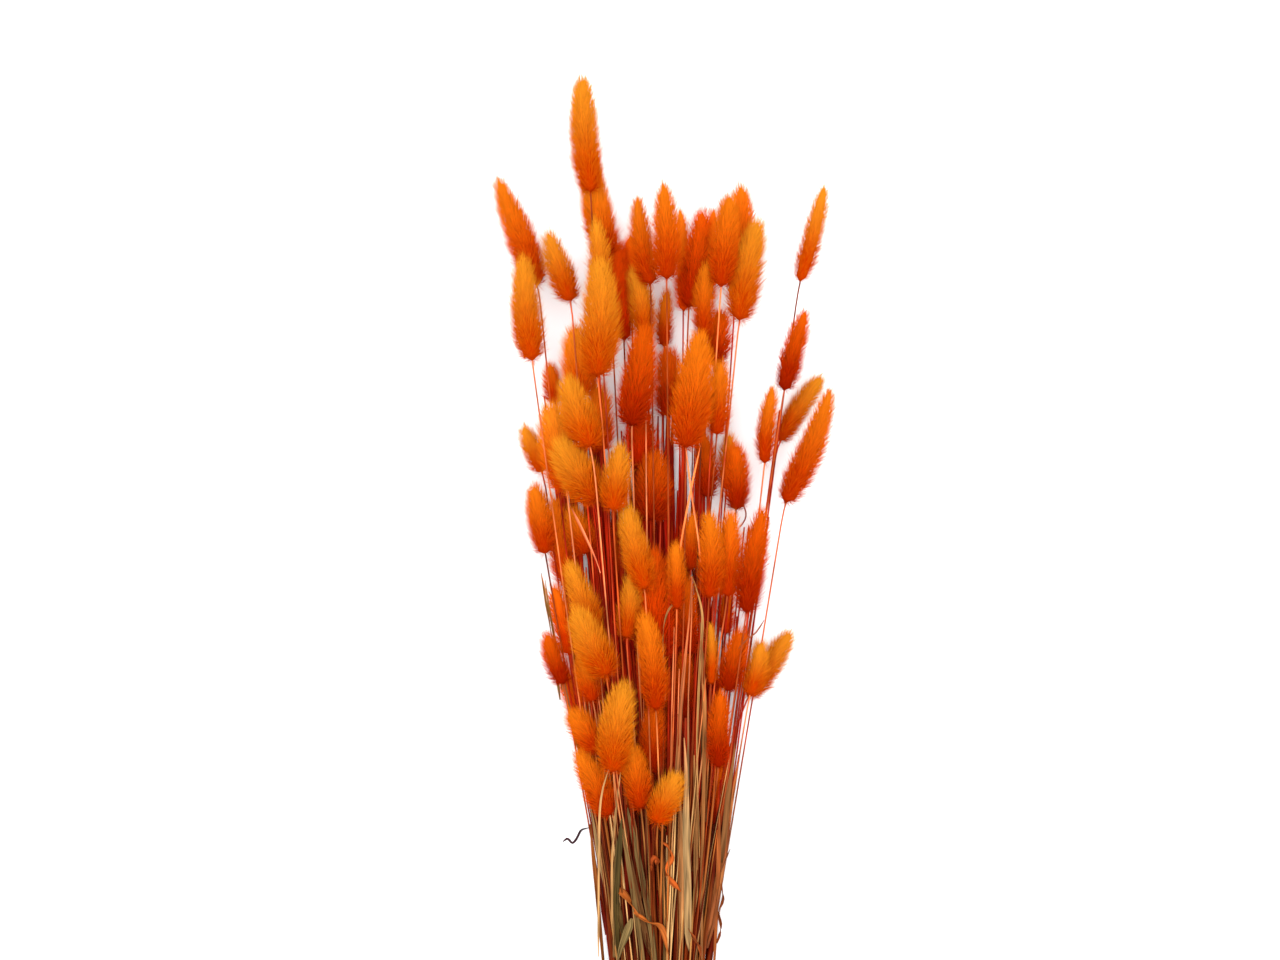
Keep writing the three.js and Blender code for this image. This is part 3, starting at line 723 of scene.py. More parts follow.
# Curls and loose straws
# What lies on the front of the bunch: split straws, curled leaf ends, tendrils and a few stems
# that cross. Each is a leaf section drawn through a few places, laid on the stalks below it.
# Rows: colour, half width in mm, turns of twist, then places as x, y and height over the stalks in mm.
LOOSE_BITS = [
    ("#b07c48", 0.8, 0.5, [(15.3, 16.6, 1.2), (8.5, 4.1, 1.2), (1.6, -4.5, 1.2), (-0.7, -20.5, 1),
                           (0.5, -54.8, 0.5)]),
    ("#b8844c", 0.8, 0.3, [(15.9, 16.1, 1.2), (18.2, 9.2, 1.2), (21.6, -6.2, 1), (20.5, -31.9, 1),
                           (19.3, -54.8, 1), (18.8, -89.1, 1), (20.5, -146.2, 0.5)]),
    ("#8c562c", 1.2, 0.2, [(20.5, -10.2, 0), (22.8, -54.8, 0), (22.8, -100.5, 0), (21.6, -151.9, 0),
                           (21.6, -204.5, 0), (21.1, -249.1, -1.5)]),
    ("#986438", 1.4, 0.1, [(9.1, -109.1, 0), (10.2, -146.2, 0.5), (9.6, -203.4, 0), (9.1, -249.1, -1.5)]),
    ("#8a5a30", 1.3, 0.1, [(17.1, -86.2, 0.5), (18.2, -134.8, 0.5), (18.2, -203.4, 0),
                           (17.1, -249.1, -1.5)]),
    ("#46371a", 1.7, 0.15, [(-24.1, -121.1, 0.9), (-25.8, -140.5, 1), (-26.9, -157.6, 0.5),
                            (-27.5, -171.9, 0), (-26.4, -203.4, 0)]),
    ("#664c2a", 1.4, 0.1, [(-23.5, -126.8, 0.9), (-18.9, -157.6, 1), (-13.8, -191.9, 0.5),
                           (-10.4, -220.5, 0)]),
    ("#6e5430", 1.7, 0.15, [(-21.2, -116.5, 0.9), (-13.8, -151.9, 0.9), (-6.9, -191.9, 0.5),
                            (-3.5, -226.2, 0)]),
    ("#bc8c58", 0.6, 0, [(-30.9, -90.2, 0), (-36.1, -110.8, 1), (-37.2, -146.2, 0.5), (-37.8, -203.4, 0)]),
    ("#b48450", 0.6, 0, [(-24.7, -93.6, 0), (-27.5, -117.6, 1), (-29.8, -147.4, 1), (-29.8, -186.2, 0)]),
    ("#8c3a12", 1.6, 1.1, [(-7.5, -152.0, 0.5), (-7.1, -147.0, 1.2), (-5.6, -143.6, 2.1),
                           (-3.8, -144.4, 2.1), (-4.4, -148.2, 1.2)]),
    ("#b4521c", 1.7, 1.2, [(-0.7, -135.9, 1), (2.2, -138.2, 1.8), (4.5, -143.9, 2.1), (2.2, -149.6, 1.5),
                           (1.1, -153.1, 1.2), (4.5, -158.8, 1.5), (9.6, -164.5, 1)]),
    ("#a0521e", 2.4, 0.35, [(-26.5, -162.0, 1), (-22.3, -166.5, 1.6), (-17.5, -172.5, 2.2),
                            (-15.5, -178.5, 1.8)]),
    ("#80683e", 2.6, 0.25, [(-18.4, -179.4, 1.8), (-21.8, -188.5, 1.5), (-25.2, -197.6, 0.9),
                            (-27.5, -207.9, 0)]),
    ("#a0521e", 1.9, 0.9, [(-17.3, -175.6, 1.8), (-9.2, -181.6, 2.4), (-2.4, -184.5, 2.1),
                           (1.1, -191.9, 1.2), (2.2, -204.5, 0)]),
    ("#883e18", 1.2, 1.4, [(13.6, -186.2, 1.2), (17.1, -191.9, 1.8), (20.5, -197.6, 1.2),
                           (21.6, -206.8, 0)]),
    ("#88461e", 1.3, 0.2, [(31.9, -120.5, 0.5), (31.3, -151.9, 1), (30.2, -186.2, 0.5), (28.5, -220.5, 0)]),
    ("#7c3a18", 0.9, 1.6, [(33.1, -162.2, 0), (34.2, -171.4, 0.9), (31.9, -179.4, 1.2), (33.1, -188.5, 1),
                           (30.8, -197.6, 0)]),
    ("#80461e", 1.2, 0.2, [(-42.4, -126.8, 0), (-39.5, -157.6, 0.5), (-36.1, -197.6, 0),
                           (-33.2, -231.9, 0)]),
    ("#3a2228", 0.7, 0, [(-43.0, -129.0, 0), (-47.2, -130.0, 1), (-48.8, -132.3, 1.2), (-50.4, -135.5, 1.2),
                         (-52.6, -137.8, 1), (-54.3, -136.2, 1), (-55.8, -135.2, 1.2), (-58.1, -137.1, 1)]),
    ("#6c3a20", 0.4, 0, [(31.9, -156.5, 0), (34.8, -149.6, 1), (38.2, -142.2, 1.2)]),
    ("#7c3c20", 0.4, 0, [(42.2, -25.1, 0), (47.3, -19.9, 0), (52.5, -15.9, 1), (57.1, -9.1, 1.2)]),
    ("#9a3414", 0.4, 0, [(42.2, 59.5, 0), (45.1, 56.6, 0), (46.8, 52.1, 0), (46.2, 48.1, 0),
                         (43.3, 43.5, 0)]),
    ("#f47a44", 0.5, 0, [(11.9, 89.2, 1), (14.8, 66.4, 1.2), (19.3, 36.6, 1), (22.2, 8.1, 0)]),
    ("#f4763c", 0.5, 0, [(20.5, 90.9, 1), (14.8, 65.2, 1), (9.6, 36.6, 1), (6.8, 8.1, 0)]),
    ("#e0744c", 0.8, 0.3, [(-52.7, 54.9, 1.2), (-45.8, 41.2, 1.2), (-38.4, 25.2, 1.2), (-36.1, 18.4, 1)]),
    ("#6e4a20", 0.8, 0.6, [(-70.4, 17.8, 0), (-67.5, -0.5, 0), (-64.1, -20.5, 0), (-59.5, -54.8, 0)]),
    ("#7c5224", 0.6, 0.4, [(-68.1, 13.8, 1), (-65.8, -3.4, 1), (-61.8, -26.2, 1), (-58.4, -49.1, 0)]),
]
LOOSE_STEP, LONG_STRAW_STEP = 2.5 * MM, 7.5 * MM
LONG_STRAW_PLACES = 4
LOOSE_CLEARANCE = 0.5 * MM
LOOSE_FOLD = 0.5
LOOSE_TAPER = ((0.25, 4), (0.4, 5))
STALKS_WITHIN = 2.5 * MM
STEEPEST = 0.3
SPLIT_COUNT = 44
SPLIT_FEET, SPLIT_TOPS = (-285 * MM, -235 * MM), (-170 * MM, 0)
SPLIT_SIDES, SPLIT_SHARES = (2, 96), (0.03, 0.97)
SPLIT_PLACES, SPLIT_STEP = 6, 10 * MM
SPLIT_LIFTS, SPLIT_DRIFTS = (0.3 * MM, 1.2 * MM), (-0.1, 0.1)
SPLIT_WIDTHS = (0.35 * MM, 0.6 * MM)
SPLIT_FOLD = 0.6
SPLIT_TAPER = ((1, 0), (0.3, 4))
SPLIT_STRAWS = ["#b88a54", "#a06c38", "#8c4c1e", "#742c0c", "#c49660", "#4c1404"]
SPLIT_DYES = ["#dc7444", "#cc5018", "#e48c58", "#942806"]


def top_of_stalks(x, y):
    """Height of the highest stalk near a place, or of the stalk nearest to it."""
    near = []
    for stem in stems:
        line = stem["line"]
        if line[0, 1] <= y <= line[-1, 1]:
            aside = abs(np.interp(y, line[:, 1], line[:, 0]) - x)
            girth = np.interp(y, line[:len(stem["girth"]), 1], stem["girth"])
            near.append((aside, np.interp(y, line[:, 1], line[:, 2]) + girth))
    close = [z for aside, z in near if aside < STALKS_WITHIN]
    return max(close) if close else min(near)[1]


def drape(places):
    """Raises places so that a straw through them never falls steeply between stalks."""
    return [
        (x, y, max(z - STEEPEST * math.dist((x, y), (other_x, other_y)) for other_x, other_y, z in places))
        for x, y, _ in places
    ]


def draw_through(places, step):
    """A smooth line through places, with a point about every step metres."""
    places = np.array(places)
    padded = np.concatenate([2 * places[:1] - places[1:2], places, 2 * places[-1:] - places[-2:-1]])
    line = []
    for a, b, c, d in zip(padded, padded[1:], padded[2:], padded[3:]):
        slope = (c - a) / 2
        bend = a - 2.5 * b + 2 * c - d / 2
        turn = 1.5 * (b - c) + (d - a) / 2
        for t in np.arange(0, 1, 1 / max(2, round(np.linalg.norm(c - b) / step))):
            line.append(b + slope * t + bend * t ** 2 + turn * t ** 3)
    return np.array(line + [places[-1]])


loose_skins = Skins()
for colour, half_width, turns, places in LOOSE_BITS:
    laid = []
    for x, y, height in places:
        x, y, height = x * MM, y * MM, height * MM
        laid.append((x, y, top_of_stalks(x, y) + height + LOOSE_CLEARANCE))
    line = draw_through(drape(laid), LONG_STRAW_STEP if len(laid) <= LONG_STRAW_PLACES else LOOSE_STEP)
    outlines = []
    for ring in range(len(line)):
        share = ring / (len(line) - 1)
        width = half_width * MM * tapered(share, LOOSE_TAPER)
        outlines.append(folded_outline(width, LOOSE_FOLD, math.tau * turns * share))
    loose_skins.add(line, outlines, [linear(colour)] * len(line), draw.uniform(*PATTERN_NUMBERS))
# Split straws are thin, and stray to one side as they go up.
for number in range(SPLIT_COUNT):
    foot, top = draw.uniform(*SPLIT_FEET), draw.uniform(*SPLIT_TOPS)
    side, drift = draw.uniform(*SPLIT_SHARES), draw.uniform(*SPLIT_DRIFTS)
    laid = []
    for y in np.linspace(foot, top, SPLIT_PLACES):
        left, right = sides_at(y, SPLIT_SIDES)
        x = left + (right - left) * (side + drift * (y - foot) / (top - foot))
        laid.append((x, y, top_of_stalks(x, y) + draw.uniform(*SPLIT_LIFTS)))
    line = draw_through(drape(laid), SPLIT_STEP)
    half_width, dye_line = draw.uniform(*SPLIT_WIDTHS), draw.uniform(*DYE_LINE)
    straw, dye = draw.choice(SPLIT_STRAWS), draw.choice(SPLIT_DYES)
    outlines, dyes = [], []
    for ring, spot in enumerate(line):
        share = ring / (len(line) - 1)
        width = half_width * tapered(share, SPLIT_TAPER)
        outlines.append(folded_outline(width, SPLIT_FOLD, math.tau * share))
        dyes.append(colour_at(spot, straw, dye, dye_line, 0))
    loose_skins.add(line, outlines, dyes, number)
loose_piece = loose_skins.piece("curls_and_straws")
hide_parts(*stalk_nodes)
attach(loose_piece, "root")


# Fluffy heads
# A head is a dense spike of small spikelets, each ending in soft hairs that lean towards the tip.
# A slim core of spikelets carries tufts of tapered hairs. Dark dye sits deep, and painted shade among
# the roots adds to it; the tips are pale, partly with painted light that passes through them.
CORE_SHARE = 0.66
CORE_ROWS, CORE_SIDES = 12, 8
ROW_INSET = 0.7
HEAD_RISE = 0.22
HEAD_FALLS = (0.32, 0.6)
HEAD_BOW = 0.03
SLIMNESS = 0.94
TIP_STRETCH, BASE_STRETCH = 0.04, 0.08
# The tip of this head runs on under the head over it.
LONG_TIPS = {"stalk_orange_2": 0.45}
HAIR_SHARE, LEAST_HAIR = 0.86, 1 * MM
HAIR_PAST_CORE = 0.55
HAIR_TAPER = ((0.65, 1.6), (0.8, 0.8))
FLARE_AT_FOOT, FLARE_LOST = 1.35, 0.9
FOOT_SHADE, FOOT_SHADE_FADES = 0.55, 1.8
# A head counts as crowded by the heads that lie over it. It is fuller, carries fewer tufts, and takes
# painted shade: its colours mix towards its root colour.
CROWD_ASIDE, CROWD_ALONG, CROWD_ABOVE = 18 * MM, 32 * MM, 3 * MM
MOST_CROWDED = 4
CROWD_STRETCH, CROWD_SPREAD, CROWD_HAIR = 0.2, 0.3, 0.1
CROWD_THINNING, CROWD_SHADE = 0.35, 0.7
# Painted light: fluff lets light through, so a crowded head's colours are made brighter than full
# shade would leave them.
ALONE_GLOW, CROWD_GLOW = 0.83, 1.52
TUFT_SPACING = 1.2 * MM
MOST_TUFTS_PER_M2 = 3_000_000
TUFT_KINDS = 6
TUFT_LENGTHS = (0.7, 1.0)
TUFT_STRAY = 0.1
HAIRS_IN_TUFT = 6
HAIR_WIDTH = 0.024
HAIR_LENGTHS, HAIR_GIRTHS = (0.6, 1.3), (0.5, 1.2)
HAIR_ASIDE, HAIR_ALONG, HAIR_LEAN = 0.26, 0.1, 0.17
WHOLE_TURN = 6.28
LEAST_HAIR_HEIGHT = 0.3 * MM
SOFT_FACING, SOFTNESS = 0.6, 0.78
BODY_AT = 0.62
# Colours of a hair at its root, at BODY_AT of its length and at its tip.
FLUFF = {
    "amber": ("#c83c00", "#ea6e06", "#f6a428"),
    "orange": ("#b62c00", "#f25804", "#f88c18"),
    "red": ("#961a00", "#e03800", "#f46c0c"),
}
PIECES_OF_TINT = {"amber": 3, "orange": 3, "red": 2}

# Dried, dyed hair is soft and matt. Tufts and single hairs differ a little in brightness.
fluff_materials = {}
for tint, (deep, body, pale) in FLUFF.items():
    material, tree, output = start_material("fluff_" + tint)
    # From 0 to 1, along goes up a hair and rise up a head. tone is a tuft's own and strand a hair's.
    along, rise, tone, strand, shade, crowd, puff = (
        add(tree, "ShaderNodeAttribute", attribute_name=name)
        for name in ("along", "rise", "tone", "strand", "shade", "crowd", "puff")
    )
    hair_colour = add(tree, "ShaderNodeValToRGB", {"Fac": along.outputs["Fac"]})
    ramp = hair_colour.color_ramp.elements
    ramp[0].color, ramp[1].color = rgba(deep), rgba(pale)
    ramp.new(BODY_AT).color = rgba(body)
    tip_share = add(tree, "ShaderNodeMapRange", {
        "Value": rise.outputs["Fac"], "From Min": 0.3, "From Max": 1.0, "To Min": 0.0, "To Max": 0.75,
    })
    paler = add(tree, "ShaderNodeMix", {
        "Factor": tip_share.outputs[0], 6: hair_colour.outputs["Color"], 7: rgba(pale),
    }, data_type="RGBA")
    # The colour mixes towards the root colour by each spot's shade: painted shade on crowded heads, and
    # darker towards the foot of a head.
    deeper = add(tree, "ShaderNodeMix", {
        "Factor": shade.outputs["Fac"], 6: paler.outputs[2], 7: rgba(deep),
    }, data_type="RGBA")
    uneven = add(tree, "ShaderNodeMath", {0: tone.outputs["Fac"], 1: strand.outputs["Fac"]}, operation="ADD")
    bright = add(tree, "ShaderNodeMapRange", {
        "Value": uneven.outputs[0], "From Max": 2.0, "To Min": 0.82, "To Max": 1.14,
    })
    glow = add(tree, "ShaderNodeMapRange", {
        "Value": crowd.outputs["Fac"], "To Min": ALONE_GLOW, "To Max": CROWD_GLOW,
    })
    lit = add(tree, "ShaderNodeMath", {0: bright.outputs[0], 1: glow.outputs[0]}, operation="MULTIPLY")
    colour = add(tree, "ShaderNodeVectorMath", {
        0: deeper.outputs[2], "Scale": lit.outputs[0],
    }, operation="SCALE")
    # Light passes among the hairs, so their outer sides are lit more as the head they cover.
    own = add(tree, "ShaderNodeNewGeometry").outputs["Normal"]
    facing = add(tree, "ShaderNodeVectorMath", {0: own, 1: puff.outputs["Vector"]}, operation="DOT_PRODUCT")
    softness = add(tree, "ShaderNodeMapRange", {
        "Value": facing.outputs["Value"],
        "From Min": -SOFT_FACING, "From Max": SOFT_FACING, "To Min": 0.0, "To Max": SOFTNESS,
    })
    blended = add(tree, "ShaderNodeMix", {
        0: softness.outputs[0], 4: own, 5: puff.outputs["Vector"],
    }, data_type="VECTOR")
    soft = add(tree, "ShaderNodeVectorMath", {0: blended.outputs[1]}, operation="NORMALIZE")
    shader = add(tree, "ShaderNodeBsdfPrincipled", {
        "Base Color": colour.outputs[0],
        "Roughness": 0.9,
        "Specular IOR Level": 0.0,
        "Normal": soft.outputs[0],
    })
    tree.links.new(shader.outputs[0], output.inputs["Surface"])
    fluff_materials[tint] = material

tuft_tree, given, made = new_tree(
    "hair_tufts",
    ("Tuft spacing", "NodeSocketFloat", TUFT_SPACING),
    ("Hairs in tuft", "NodeSocketInt", HAIRS_IN_TUFT),
    ("Hair width", "NodeSocketFloat", HAIR_WIDTH),
    ("Seed", "NodeSocketInt", 1),
    ("Material", "NodeSocketMaterial", None),
)
# One hair is a three-sided spike, one unit long.
spike = add(tuft_tree, "GeometryNodeMeshCone", {
    "Vertices": 3, "Radius Top": 0.0, "Radius Bottom": given.outputs["Hair width"], "Depth": 1.0,
}, fill_type="NGON")
height = add(tuft_tree, "ShaderNodeSeparateXYZ", {
    0: add(tuft_tree, "GeometryNodeInputPosition").outputs[0],
})
hair = add(tuft_tree, "GeometryNodeStoreNamedAttribute", {
    "Geometry": spike.outputs["Mesh"], "Name": "along", "Value": height.outputs["Z"],
}, data_type="FLOAT", domain="POINT")
choices = add(tuft_tree, "GeometryNodeJoinGeometry")
for variant in range(TUFT_KINDS):
    apart = add(tuft_tree, "FunctionNodeRandomValue", {
        "Min": (-HAIR_ASIDE, -HAIR_ASIDE, -HAIR_ALONG),
        "Max": (HAIR_ASIDE, HAIR_ASIDE, HAIR_ALONG),
        "Seed": 20 + variant,
    }, data_type="FLOAT_VECTOR")
    spots = add(tuft_tree, "GeometryNodePoints", {
        "Count": given.outputs["Hairs in tuft"], "Position": apart.outputs[0],
    })
    leaning = add(tuft_tree, "FunctionNodeRandomValue", {
        "Min": (-HAIR_LEAN, -HAIR_LEAN, 0.0), "Max": (HAIR_LEAN, HAIR_LEAN, WHOLE_TURN), "Seed": variant,
    }, data_type="FLOAT_VECTOR")
    lean = add(tuft_tree, "FunctionNodeEulerToRotation", {0: leaning.outputs[0]})
    length = add(tuft_tree, "FunctionNodeRandomValue", {
        2: HAIR_LENGTHS[0], 3: HAIR_LENGTHS[1], "Seed": 10 + variant,
    })
    thick = add(tuft_tree, "FunctionNodeRandomValue", {
        2: HAIR_GIRTHS[0], 3: HAIR_GIRTHS[1], "Seed": 40 + variant,
    })
    size = add(tuft_tree, "ShaderNodeCombineXYZ", {
        0: thick.outputs[1], 1: thick.outputs[1], 2: length.outputs[1],
    })
    strand_tone = add(tuft_tree, "FunctionNodeRandomValue", {2: 0.0, 3: 1.0, "Seed": 50 + variant})
    strands = add(tuft_tree, "GeometryNodeStoreNamedAttribute", {
        "Geometry": spots.outputs[0], "Name": "strand", "Value": strand_tone.outputs[1],
    }, data_type="FLOAT", domain="POINT")
    fan = add(tuft_tree, "GeometryNodeInstanceOnPoints", {
        "Points": strands.outputs[0],
        "Instance": hair.outputs["Geometry"],
        "Rotation": lean.outputs[0],
        "Scale": size.outputs[0],
    })
    whole = add(tuft_tree, "GeometryNodeRealizeInstances", {0: fan.outputs[0]})
    tuft = add(tuft_tree, "GeometryNodeGeometryToInstance", {0: whole.outputs[0]})
    tuft_tree.links.new(tuft.outputs[0], choices.inputs[0])
# The core says for each spot how crowded it is, which way it grows, and how long and how wide open
# its tufts are.
crowd, axis, reach, flare = (
    add(tuft_tree, "GeometryNodeInputNamedAttribute", {"Name": name}, data_type=kind)
    for name, kind in (("crowd", "FLOAT"), ("axis", "FLOAT_VECTOR"), ("reach", "FLOAT"), ("flare", "FLOAT"))
)
density = add(tuft_tree, "ShaderNodeMapRange", {
    "Value": crowd.outputs[0], "To Min": 1.0, "To Max": 1 - CROWD_THINNING,
})
scatter = add(tuft_tree, "GeometryNodeDistributePointsOnFaces", {
    "Mesh": given.outputs["Geometry"],
    "Distance Min": given.outputs["Tuft spacing"],
    "Density Max": MOST_TUFTS_PER_M2,
    "Density Factor": density.outputs[0],
    "Seed": given.outputs["Seed"],
}, distribute_method="POISSON")
stray = add(tuft_tree, "FunctionNodeRandomValue", {
    "Min": (-TUFT_STRAY, -TUFT_STRAY, -TUFT_STRAY), "Max": (TUFT_STRAY, TUFT_STRAY, TUFT_STRAY), "Seed": 31,
}, data_type="FLOAT_VECTOR")
outward = add(tuft_tree, "ShaderNodeVectorMath", {
    0: scatter.outputs["Normal"], "Scale": flare.outputs["Attribute"],
}, operation="SCALE")
leant = add(tuft_tree, "ShaderNodeVectorMath", {0: outward.outputs[0], 1: axis.outputs[0]})
towards = add(tuft_tree, "ShaderNodeVectorMath", {0: leant.outputs[0], 1: stray.outputs[0]})
aimed = add(tuft_tree, "FunctionNodeAlignRotationToVector", {"Vector": towards.outputs[0]}, axis="Z")
spin = add(tuft_tree, "FunctionNodeRandomValue", {2: 0.0, 3: WHOLE_TURN, "Seed": 32})
spun = add(tuft_tree, "FunctionNodeRotateRotation", {
    0: aimed.outputs[0],
    1: add(tuft_tree, "FunctionNodeAxisAngleToRotation", {
        "Axis": (0, 0, 1), "Angle": spin.outputs[1],
    }).outputs[0],
}, rotation_space="LOCAL")
vary = add(tuft_tree, "FunctionNodeRandomValue", {2: TUFT_LENGTHS[0], 3: TUFT_LENGTHS[1], "Seed": 33})
long = add(tuft_tree, "ShaderNodeMath", {0: reach.outputs[0], 1: vary.outputs[1]}, operation="MULTIPLY")
puffed = add(tuft_tree, "GeometryNodeStoreNamedAttribute", {
    "Geometry": scatter.outputs["Points"], "Name": "puff", "Value": scatter.outputs["Normal"],
}, data_type="FLOAT_VECTOR", domain="POINT")
tuft_tone = add(tuft_tree, "FunctionNodeRandomValue", {2: 0.0, 3: 1.0, "Seed": 34})
toned = add(tuft_tree, "GeometryNodeStoreNamedAttribute", {
    "Geometry": puffed.outputs[0], "Name": "tone", "Value": tuft_tone.outputs[1],
}, data_type="FLOAT", domain="POINT")
planted = add(tuft_tree, "GeometryNodeInstanceOnPoints", {
    "Points": toned.outputs[0],
    "Instance": choices.outputs[0],
    "Pick Instance": True,
    "Instance Index": add(tuft_tree, "FunctionNodeRandomValue", {
        4: 0, 5: TUFT_KINDS - 1, "Seed": 35,
    }, data_type="INT").outputs[2],
    "Rotation": spun.outputs[0],
    "Scale": long.outputs[0],
})
coat = add(tuft_tree, "GeometryNodeRealizeInstances", {0: planted.outputs[0]})
rounded = add(tuft_tree, "GeometryNodeStoreNamedAttribute", {
    "Geometry": given.outputs["Geometry"],
    "Name": "puff",
    "Value": add(tuft_tree, "GeometryNodeInputNormal").outputs[0],
}, data_type="FLOAT_VECTOR", domain="POINT")
coated = add(tuft_tree, "GeometryNodeJoinGeometry")
tuft_tree.links.new(coat.outputs[0], coated.inputs[0])
tuft_tree.links.new(rounded.outputs[0], coated.inputs[0])
# Hairs that reach the table lie flat on it.
spot = add(tuft_tree, "ShaderNodeSeparateXYZ", {
    0: add(tuft_tree, "GeometryNodeInputPosition").outputs[0],
})
kept = add(tuft_tree, "ShaderNodeMath", {0: spot.outputs["Z"], 1: LEAST_HAIR_HEIGHT}, operation="MAXIMUM")
lifted = add(tuft_tree, "GeometryNodeSetPosition", {
    "Geometry": coated.outputs[0],
    "Position": add(tuft_tree, "ShaderNodeCombineXYZ", {
        0: spot.outputs["X"], 1: spot.outputs["Y"], 2: kept.outputs[0],
    }).outputs[0],
})
dressed = add(tuft_tree, "GeometryNodeSetMaterial", {
    "Geometry": lifted.outputs[0], "Material": given.outputs["Material"],
})
tuft_tree.links.new(dressed.outputs[0], made.inputs["Geometry"])


def head_outline(share, fall):
    """Radius of a head over its fullest, from 0 at its base to 1 at its tip."""
    def swell(height):
        return height ** HEAD_RISE * (1 - height) ** fall
    return swell(share) / swell(HEAD_RISE / (HEAD_RISE + fall))


def covers(other, head):
    """Whether another head lies over a head, with its middle near the other's middle."""
    apart = (other["base"] + other["tip"] - head["base"] - head["tip"]) / 2
    return abs(apart[0]) < CROWD_ASIDE and abs(apart[1]) < CROWD_ALONG and apart[2] > CROWD_ABOVE


def core_of(head):
    """The points of a head's core as place, height share and direction, and its faces."""
    base, tip = Vector(head["base"]), Vector(head["tip"])
    axis = (tip - base).normalized()
    across = Vector((axis.y, -axis.x, 0)).normalized()
    up = axis.cross(across)
    length = (tip - base).length - HAIR_PAST_CORE * head["hair"]
    bow = HEAD_BOW * length * draw.uniform(-1, 1)
    fall = draw.uniform(*HEAD_FALLS)

    def middle(share):
        return base + axis * share * length + across * bow * math.sin(math.pi * share)

    def direction(share):
        return (axis * length + across * bow * math.pi * math.cos(math.pi * share)).normalized()

    spots = [(middle(0), 0, direction(0))]
    for row in range(CORE_ROWS):
        share = (row + ROW_INSET) / (CORE_ROWS - 1 + 2 * ROW_INSET)
        radius = CORE_SHARE * head["radius"] * head_outline(share, fall)
        for side in range(CORE_SIDES):
            angle = math.tau * (side + row / 2) / CORE_SIDES
            ray = across * math.cos(angle) + up * math.sin(angle)
            spots.append((middle(share) + ray * radius, share, direction(share)))
    spots.append((middle(1), 1, direction(1)))
    faces = [(0, 1 + (i + 1) % CORE_SIDES, 1 + i) for i in range(CORE_SIDES)]
    for row in range(CORE_ROWS - 1):
        low = 1 + row * CORE_SIDES
        for i in range(CORE_SIDES):
            j = (i + 1) % CORE_SIDES
            faces.append((low + i, low + j, low + CORE_SIDES + i))
            faces.append((low + j, low + CORE_SIDES + j, low + CORE_SIDES + i))
    low = 1 + (CORE_ROWS - 1) * CORE_SIDES
    faces += [(low + i, low + (i + 1) % CORE_SIDES, len(spots) - 1) for i in range(CORE_SIDES)]
    return spots, face_outwards([np.array(spot[0]) for spot in spots], faces)


for head in heads:
    above = sum(covers(other, head) for other in heads)
    head["crowd"] = min(max(above - 1, 0) / (MOST_CROWDED - 1), 1)
for tint, count in PIECES_OF_TINT.items():
    ordered = sorted((head for head in heads if head["tint"] == tint), key=lambda head: head["base"][1])
    for part, chosen in enumerate(np.array_split(np.array(ordered, object), count), 1):
        points, faces, axes = [], [], []
        numbers = {name: [] for name in ("rise", "reach", "flare", "shade", "crowd")}
        for head in chosen:
            crowd = head["crowd"]
            span = head["tip"] - head["base"]
            stretch = LONG_TIPS.get(head["node"], TIP_STRETCH)
            head["tip"] = head["tip"] + span * stretch
            head["base"] = head["base"] - span * (BASE_STRETCH + CROWD_STRETCH * crowd)
            head["radius"] *= SLIMNESS * (1 + CROWD_SPREAD * crowd)
            head["hair"] = (HAIR_SHARE * head["radius"] + LEAST_HAIR) * (1 + CROWD_HAIR * crowd)
            spots, core_faces = core_of(head)
            faces += [tuple(len(points) + i for i in face) for face in core_faces]
            for place, share, axis in spots:
                # The more a tip is stretched, the lower on the head its colours start.
                rise = min(1, share * (1 + stretch) ** 2)
                foot_shade = FOOT_SHADE * max(0, 1 - FOOT_SHADE_FADES * rise)
                points.append(place)
                axes.append(axis)
                numbers["rise"].append(rise)
                numbers["crowd"].append(crowd)
                numbers["reach"].append(head["hair"] * tapered(rise, HAIR_TAPER))
                numbers["flare"].append(FLARE_AT_FOOT - FLARE_LOST * rise ** 0.5)
                numbers["shade"].append(mix(foot_shade, CROWD_SHADE, crowd))
        core = build_mesh("core", points, [], faces, numbers, {"axis": axes})
        piece = grow(f"fluff_{tint}_{part}", core, tuft_tree, Seed=part, Material=fluff_materials[tint])
        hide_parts(*sorted({head["node"] for head in chosen}))
        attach(piece, "root")


# Tie
# A natural rubber band wound round the stalks near their cut ends, its last turn crossing back
# over the others on top. It is a round section drawn along the outline of the frame's band.
BAND_TURNS = 4
BAND_RADIUS = 0.8 * MM
BAND_CROSSING = 0.14
BAND_STEPS = 56
BAND_LIFT = 1.5 * MM
BAND_SECTION = 8
SIDE_STEPS = 11
TOP_TURN = 0.25
DUST_SIZE = 2.5 * MM
RUBBER, DUSTY_RUBBER = "#a8703a", "#cf9a5c"

# Natural rubber is tan and satin, with paler blotches of dust.
tie_rubber, tree, output = start_material("tie_rubber")
dust = add(tree, "ShaderNodeTexNoise", {
    "Vector": add(tree, "ShaderNodeTexCoord").outputs["Object"], "Scale": 1 / DUST_SIZE, "Detail": 3.0,
})
rubber_colour = add(tree, "ShaderNodeMix", {
    "Factor": dust.outputs["Fac"], 6: rgba(RUBBER), 7: rgba(DUSTY_RUBBER),
}, data_type="RGBA")
rubber = add(tree, "ShaderNodeBsdfPrincipled", {
    "Base Color": rubber_colour.outputs[2], "Roughness": 0.5, "Specular IOR Level": 0.4,
})
tree.links.new(rubber.outputs[0], output.inputs["Surface"])

